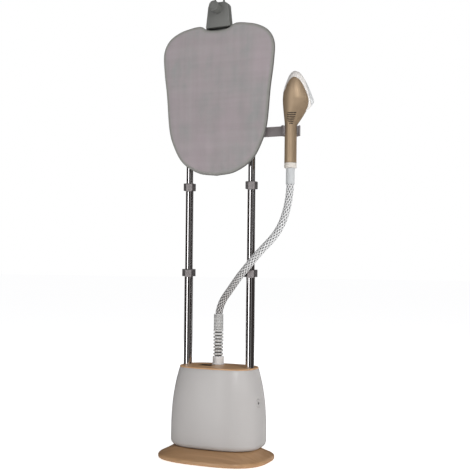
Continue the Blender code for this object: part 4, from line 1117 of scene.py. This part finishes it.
def rim_distance(place):
    """How far a point lies from the board's outline, seen from the front."""
    flat = Vector((place.x, place.z))
    return min((flat - p).length for p in RIM_POINTS)


def swell_pad(pad, back_y):
    """Lets the front of the pad swell under pressure, with its rim and its back held."""
    rest = np.array([v.co for v in pad.data.vertices])
    held = pad.vertex_groups.new(name="held")
    for vertex in pad.data.vertices:
        still = vertex.co.y > back_y - PAD_HELD_BACK or rim_distance(vertex.co) < PAD_HELD_RIM
        held.add([vertex.index], float(still), "REPLACE")
    cloth = pad.modifiers.new("swell", "CLOTH")
    cloth.settings.use_pressure = True
    cloth.settings.uniform_pressure_force = PAD_PRESSURE
    cloth.settings.effector_weights.gravity = 0
    cloth.settings.vertex_group_mass = "held"
    cloth.settings.quality = 5
    cloth.settings.tension_stiffness = 30
    cloth.settings.bending_stiffness = 2
    cloth.point_cache.frame_start, cloth.point_cache.frame_end = 1, PAD_SIM_FRAMES
    for step in range(1, PAD_SIM_FRAMES + 1):
        SCENE.frame_set(step)
    graph = bpy.context.evaluated_depsgraph_get()
    swollen = pad.evaluated_get(graph).to_mesh()
    moved = np.array([v.co for v in swollen.vertices]) - rest
    pad.modifiers.clear()
    SCENE.frame_set(1)
    length = np.linalg.norm(moved, axis=1, keepdims=True)
    moved *= np.minimum(1.0, PAD_CAP / np.maximum(length, 1e-9))
    moved[:, 1] = np.minimum(moved[:, 1], 0.0)
    for vertex, place in zip(pad.data.vertices, rest + moved):
        vertex.co = place


HEM_WIDE, HEM_FOLDS, HEM_THICK, HEM_TURN, HEM_POINTS = 0.024, 84, 0.0007, 0.0040, PAD_POINTS * 3
FOLD_DEEP, FOLD_STRAY, FOLD_STRAY_RATE = 0.0009, 0.8, 0.09


def make_cover_hem():
    """The cover's gathered hem, which wraps the panel's rim and grips its back with an elastic edge."""
    back, pad_back = box_of("press_panel")[1].y, box_of("press_pad")[1].y
    outside = [(0.0006, pad_back - 0.0006), (0.0000, pad_back + 0.0012)]
    outside += [(0.0002, back - 0.0008), (0.0012, back + 0.0006)]
    outside += [(HEM_TURN + (HEM_WIDE - HEM_TURN) * step / 7, back + 0.0010) for step in range(8)]
    inside = [(inset, depth - HEM_THICK) for inset, depth in reversed(outside[4:])]
    inside += [(0.0026, back + 0.0001), (0.0022, pad_back + 0.0002)]
    edge = [(HEM_WIDE + 0.0012, back + 0.0012), (HEM_WIDE + 0.0012, back + 0.0004)]
    outline = board_outline(0.0, HEM_POINTS)
    rings = []
    for inset, depth in outside + edge + inside:
        gather, ring = max(0.0, (inset - HEM_TURN) / HEM_WIDE), []
        for index, p in enumerate(outline):
            stray = FOLD_STRAY * math.sin(index * FOLD_STRAY_RATE)
            wave = math.sin(2 * math.pi * HEM_FOLDS * index / len(outline) + stray)
            place = p - (p - BOARD_MIDDLE).normalized() * inset
            ring.append((place.x, depth + gather * FOLD_DEEP * (1 + wave), place.y))
        rings.append(ring)
    finish_piece(loft("press_pad_hem", rings, closed=True), "upper", "fabric", sharp=70)


BRACKET_BACK_Y = -0.006


def make_brackets():
    for node in [f"board_bracket_{row}_{side}" for row in ("upper", "lower") for side in ("left", "right")]:
        low, high, middle = box_of(node)
        pole, radius = hole_for("upper_tube_" + node.split("_")[-1])
        outline = [(low.x, low.y), (high.x, low.y), (high.x, BRACKET_BACK_Y)]
        outline += arc((middle.x, 0.0), high.y, 20, 160, 16) + [(low.x, BRACKET_BACK_Y)]
        bracket = ease(prism(node + "_moulded", outline, low.z, high.z), 0.0014, 3, 50)
        cut(bracket, upright_rod("bore", pole, low.z - 0.01, high.z + 0.01, radius, 48))
        finish_piece(bracket, "upper", "clamp_grey", node)


# ---- holder and handset
HANDLE = box_of("handset_ring")[2]
HANDSET_TURN = math.radians(25)
HANDSET_PLACE = Matrix.Translation((HANDLE.x, HANDLE.y, 0.0)) @ Matrix.Rotation(HANDSET_TURN, 4, "Z")
HANDLE_R = 0.0190
HANDSET_STATIONS = [  # height, back, front, half width
    (0.9475, -HANDLE_R, HANDLE_R, HANDLE_R), (1.0640, -HANDLE_R, HANDLE_R, HANDLE_R),
    (1.0760, -0.0197, 0.0270, 0.0212), (1.0920, -0.0215, 0.0375, 0.0250),
    (1.1080, -0.0232, 0.0470, 0.0300), (1.1220, -0.0246, 0.0600, 0.0345),
    (1.1370, -0.0256, 0.0715, 0.0375), (1.1500, -0.0258, 0.0685, 0.0390),
    (1.1750, -0.0230, 0.0585, 0.0380), (1.2000, -0.0150, 0.0465, 0.0330),
    (1.2200, -0.0065, 0.0340, 0.0240), (1.2300, 0.0010, 0.0250, 0.0140),
    (1.2345, 0.0080, 0.0140, 0.0030),
]
RIM_LINE = [  # where the coloured shell meets the pale rim, seen from the side
    (-0.0400, 1.1500), (-0.0225, 1.1700), (-0.0150, 1.1880), (-0.0050, 1.2045), (0.0070, 1.2105),
    (0.0235, 1.2000), (0.0386, 1.1747), (0.0505, 1.1440), (0.0505, 1.1220), (0.0465, 1.1080),
    (0.0650, 1.0950),
]
SHELL_MIDDLE = Vector((0.005, 1.150))
PLATE_LINE = [(0.0360, 1.2300), (0.0640, 1.1150)]
FORM_SIDES, HOLLOW_STATIONS = 72, 11


def handset_form(name, inset=0.0, extend=0.0, stations=len(HANDSET_STATIONS)):
    """The handset's outer form, or a smaller one inside it that may run on out of the handle's end."""
    foot = Vector(HANDSET_STATIONS[0])
    foot[0] -= extend
    rings = []
    for z, back, front, half in [foot] + smooth_line(HANDSET_STATIONS[1:stations], 5):
        middle, reach, ring = (back + front) / 2, (front - back) / 2 - inset, []
        for step in range(FORM_SIDES):
            angle = 2 * math.pi * step / FORM_SIDES
            ring.append((middle + reach * math.cos(angle), (half - inset) * math.sin(angle), z))
        rings.append(ring)
    return loft(name, rings)


REGION_FRONT, REGION_TOP, REGION_HALF = 0.12, 1.30, 0.07


def side_region(name, line, shift=0.0, smooth=True):
    """Everything in front of a line drawn on the handset's side, which may be shifted off the shell."""
    fine = smooth_line(line, 6) if smooth else [Vector(p) for p in line]
    outline = [tuple(p + (p - SHELL_MIDDLE).normalized() * shift) for p in fine]
    outline += [(REGION_FRONT, line[-1][1]), (REGION_FRONT, REGION_TOP), (line[0][0], REGION_TOP)]
    return upright(name, outline, -REGION_HALF, REGION_HALF)


VENTS, VENT_LOW, VENT_HIGH, VENT_TALL, VENT_DROOP = 7, 1.0690, 1.1015, 0.0028, 0.0016
VENT_REAR, VENT_FRONT_LOW, VENT_FRONT_HIGH = -0.0135, 0.0055, 0.0150
# Where the black sheet sits that paints shade inside the vents.
SHADE_SHEET_INSET, SHADE_SHEET_THICK, SHADE_SHEET_REAR, SHADE_SHEET_FRONT, SHADE_SHEET_PAST = 0.0034, 0.0016, -0.019, 0.024, 0.006


def vent_cutters():
    """Short slots on both sides of the neck, whose front ends step in downwards."""
    tools = []
    for near, far in ((-0.050, -0.010), (0.010, 0.050)):
        for slot in range(VENTS):
            share = slot / (VENTS - 1)
            z = VENT_LOW + (VENT_HIGH - VENT_LOW) * share
            start = VENT_REAR + 0.007 * max(0.0, 1 - share * 2.5)
            end = VENT_FRONT_LOW + (VENT_FRONT_HIGH - VENT_FRONT_LOW) * share
            half_long, middle = (end - start) / 2, (start + end) / 2
            outline = rounded_rectangle(half_long, VENT_TALL / 2, VENT_TALL / 2 - 0.0001, 4)
            bent = [(x + middle, z + rise - VENT_DROOP * (x / half_long) ** 2) for x, rise in outline]
            tools.append(upright("vent", bent, near, far))
    return tools


def make_vent_shade_sheet():
    """A black sheet behind the slots on each side of the neck, standing in for the shade inside them as
    painted shade.
    """
    for name, near, far in (("left", -0.060, -0.009), ("right", 0.009, 0.060)):
        shade_sheet = handset_form(f"vent_shade_sheet_{name}", SHADE_SHEET_INSET)
        keep(shade_sheet, block("shade_sheet_block", (SHADE_SHEET_REAR, near, VENT_LOW - SHADE_SHEET_PAST),
                          (SHADE_SHEET_FRONT, far, VENT_HIGH + SHADE_SHEET_PAST)))
        cut(shade_sheet, handset_form("shade_sheet_inner", SHADE_SHEET_INSET + SHADE_SHEET_THICK, 0.01))
        finish_piece(placed(shade_sheet, HANDSET_PLACE), "handset", "rubber")


TRIGGER_HALF, TRIGGER_REAR, TRIGGER_FRONT, TRIGGER_GAP, TRIGGER_DEEP = 0.008, 0.012, 0.080, 0.0004, 0.0065


def make_handset():
    shell = handset_form("handset_shell_painted")
    cut(shell, side_region("rim_region", RIM_LINE))
    cut(shell, handset_form("hollow", WALL, 0.01, HOLLOW_STATIONS))
    low, high, _ = box_of("steam_trigger")
    window_low = Vector((TRIGGER_REAR, -TRIGGER_HALF, low.z - TRIGGER_GAP))
    window_high = Vector((TRIGGER_FRONT, TRIGGER_HALF, high.z + TRIGGER_GAP))
    cut(shell, block("window", window_low, window_high))
    cut(shell, *vent_cutters())
    finish_piece(placed(shell, HANDSET_PLACE), "handset", "gold", "handset_shell")

    rim = handset_form("handset_rim_moulded")
    keep(rim, side_region("rim_inner", RIM_LINE, 2 * CLEARANCE))
    rim_front = [(x - 2 * CLEARANCE, z - CLEARANCE) for x, z in PLATE_LINE]
    cut(rim, side_region("rim_front", rim_front, smooth=False))
    cut(rim, handset_form("rim_hollow", 0.010, 0.0, HOLLOW_STATIONS))
    ease(rim, 0.0005, 2, 50)
    finish_piece(placed(rim, HANDSET_PLACE), "handset", "white_plastic", "handset_rim", material=RIM_PLASTIC)
    make_steam_plate()
    make_vent_shade_sheet()

    trigger = handset_form("steam_trigger_painted")
    gap = Vector((0.0, TRIGGER_GAP, TRIGGER_GAP))
    keep(trigger, block("trigger_block", window_low + gap, window_high - gap))
    cut(trigger, handset_form("trigger_hollow", TRIGGER_DEEP, 0.0, HOLLOW_STATIONS))
    ease(trigger, 0.0010, 3, 50)
    finish_piece(placed(trigger, HANDSET_PLACE), "steam_trigger", "gold", "steam_trigger")


STEAM_HOLE_R, STEAM_HOLE_FLOOR = 0.0016, 0.0015
STEAM_HOLE_RINGS = ((0.034, 0.020, 12), (0.020, 0.010, 8))  # half length, half width, holes


def make_steam_plate():
    """The sole: a flat face with two rings of shallow steam holes, one inside the other."""
    plate = handset_form("steam_plate_enamelled")
    keep(plate, side_region("plate_region", PLATE_LINE, smooth=False))
    top, foot = (Vector((x, 0.0, z)) for x, z in PLATE_LINE)
    along = (foot - top).normalized()
    out = Vector((-along.z, 0.0, along.x))
    middle = top.lerp(foot, 0.60)
    tools = []
    for half_long, half_wide, holes in STEAM_HOLE_RINGS:
        for index in range(holes):
            angle = 2 * math.pi * (index + 0.5) / holes
            sideways = Vector((0, half_wide * math.sin(angle), 0))
            spot = middle + along * (half_long * math.cos(angle)) + sideways
            floor, outside = spot + out * STEAM_HOLE_FLOOR, spot + out * 0.03
            tools.append(rod("steam_hole", floor, outside, STEAM_HOLE_R, 16))
    cut(plate, *tools)
    finish_piece(placed(plate, HANDSET_PLACE), "handset", "steam_plate", "steam_plate")


def make_handle_end():
    """The ring at the handle's foot with a groove round it, and the cuff that takes in the hose."""
    low, high, _ = box_of("handset_ring")
    radius, bore, edge, groove = (high.x - low.x) / 2, 0.0100, 0.0022, 0.0006
    profile = [(bore, low.z)] + arc((radius - edge, low.z + edge), edge, -90, 0, 6)
    profile += [(radius, high.z - 0.0060), (radius - groove, high.z - 0.0054)]
    profile += [(radius - groove, high.z - 0.0040), (radius, high.z - 0.0034)]
    profile += [(radius, high.z - 0.0008), (radius - 0.0008, high.z), (bore, high.z)]
    turned_piece("handset_ring", "_moulded", profile, "handset", "cream_plastic")

    low, high, _ = box_of("hose_cuff")
    radius, bore, waist = (high.x - low.x) / 2, 0.0126, 0.0004
    profile = [(bore, low.z + 0.0004), (bore + 0.0004, low.z), (radius - 0.0008, low.z)]
    profile += [(radius, low.z + 0.0008), (radius, low.z + 0.0030), (radius - waist, low.z + 0.0036)]
    profile += [(radius - waist, high.z - 0.0050), (radius, high.z - 0.0040), (radius, high.z), (bore, high.z)]
    turned_piece("hose_cuff", "_moulded", profile, "handset", "white_plastic")


CLIP_OUTER, MOUTH_HALF, MOUTH_Y, ARM_HALF, ARM_START = 0.0300, 0.024, -0.0065, 0.004, 0.010


def make_holder():
    """A collar on the right pole, and an arm that ends in a round clip with its mouth to the front."""
    low, high, _ = box_of("holder_clamp")
    radius, bore, edge = (high.x - low.x) / 2, 0.0113, 0.0015
    profile = [(bore, low.z)] + arc((radius - edge, low.z + edge), edge, -90, 0, 4)
    profile += arc((radius - edge, high.z - edge), edge, 0, 90, 4) + [(bore, high.z)]
    turned_piece("holder_clamp", "_moulded", profile, "upper", "clamp_grey")

    low, high, _ = box_of("holder_arm")
    inner, below, above = HANDLE_R + CLEARANCE, low.z - 0.03, high.z + 0.03
    pole, pole_hole = box_of("upper_tube_right")[2], hole_for("holder_clamp")[1]
    arm = block("holder_arm_moulded", (pole.x + ARM_START, HANDLE.y - ARM_HALF, low.z),
                (HANDLE.x - HANDLE_R - 0.0015, HANDLE.y + ARM_HALF, high.z))
    clip = [(inner, low.z), (CLIP_OUTER, low.z), (CLIP_OUTER, high.z), (inner, high.z)]
    join(arm, lathe("clip", clip, HANDLE.xy, 96))
    mouth = block("mouth", (-MOUTH_HALF, -0.050, below), (MOUTH_HALF, MOUTH_Y, above))
    cut(arm, placed(mouth, HANDSET_PLACE), upright_rod("clamp_gap", pole, below, above, pole_hole, 64))
    ease(arm, 0.0010, 2, 50)
    finish_piece(arm, "upper", "clamp_grey", "holder_arm", material=ARM_PLASTIC)


# ---- pieces whose CAD shape stays
def dress_kept_nodes():
    slot_of = {entry["node"]: entry["material_slot"] for entry in frame["record"]["subparts"]}
    for name, node in frame["nodes"].items():
        if node.hide_render:
            continue
        for holder in node.material_slots:
            holder.material = FINISH[slot_of[name]]


make_camera()
make_hose()
make_hose_fittings()
make_light()
make_floor()
make_base_plate()
make_housing()
make_tank()
make_filler_flap()
make_top_plate()
make_poles()
make_bridge()
make_head()
make_board_panel()
pad = make_press_pad()
make_cover_hem()
make_brackets()
make_holder()
make_handset()
make_handle_end()
dress_kept_nodes()
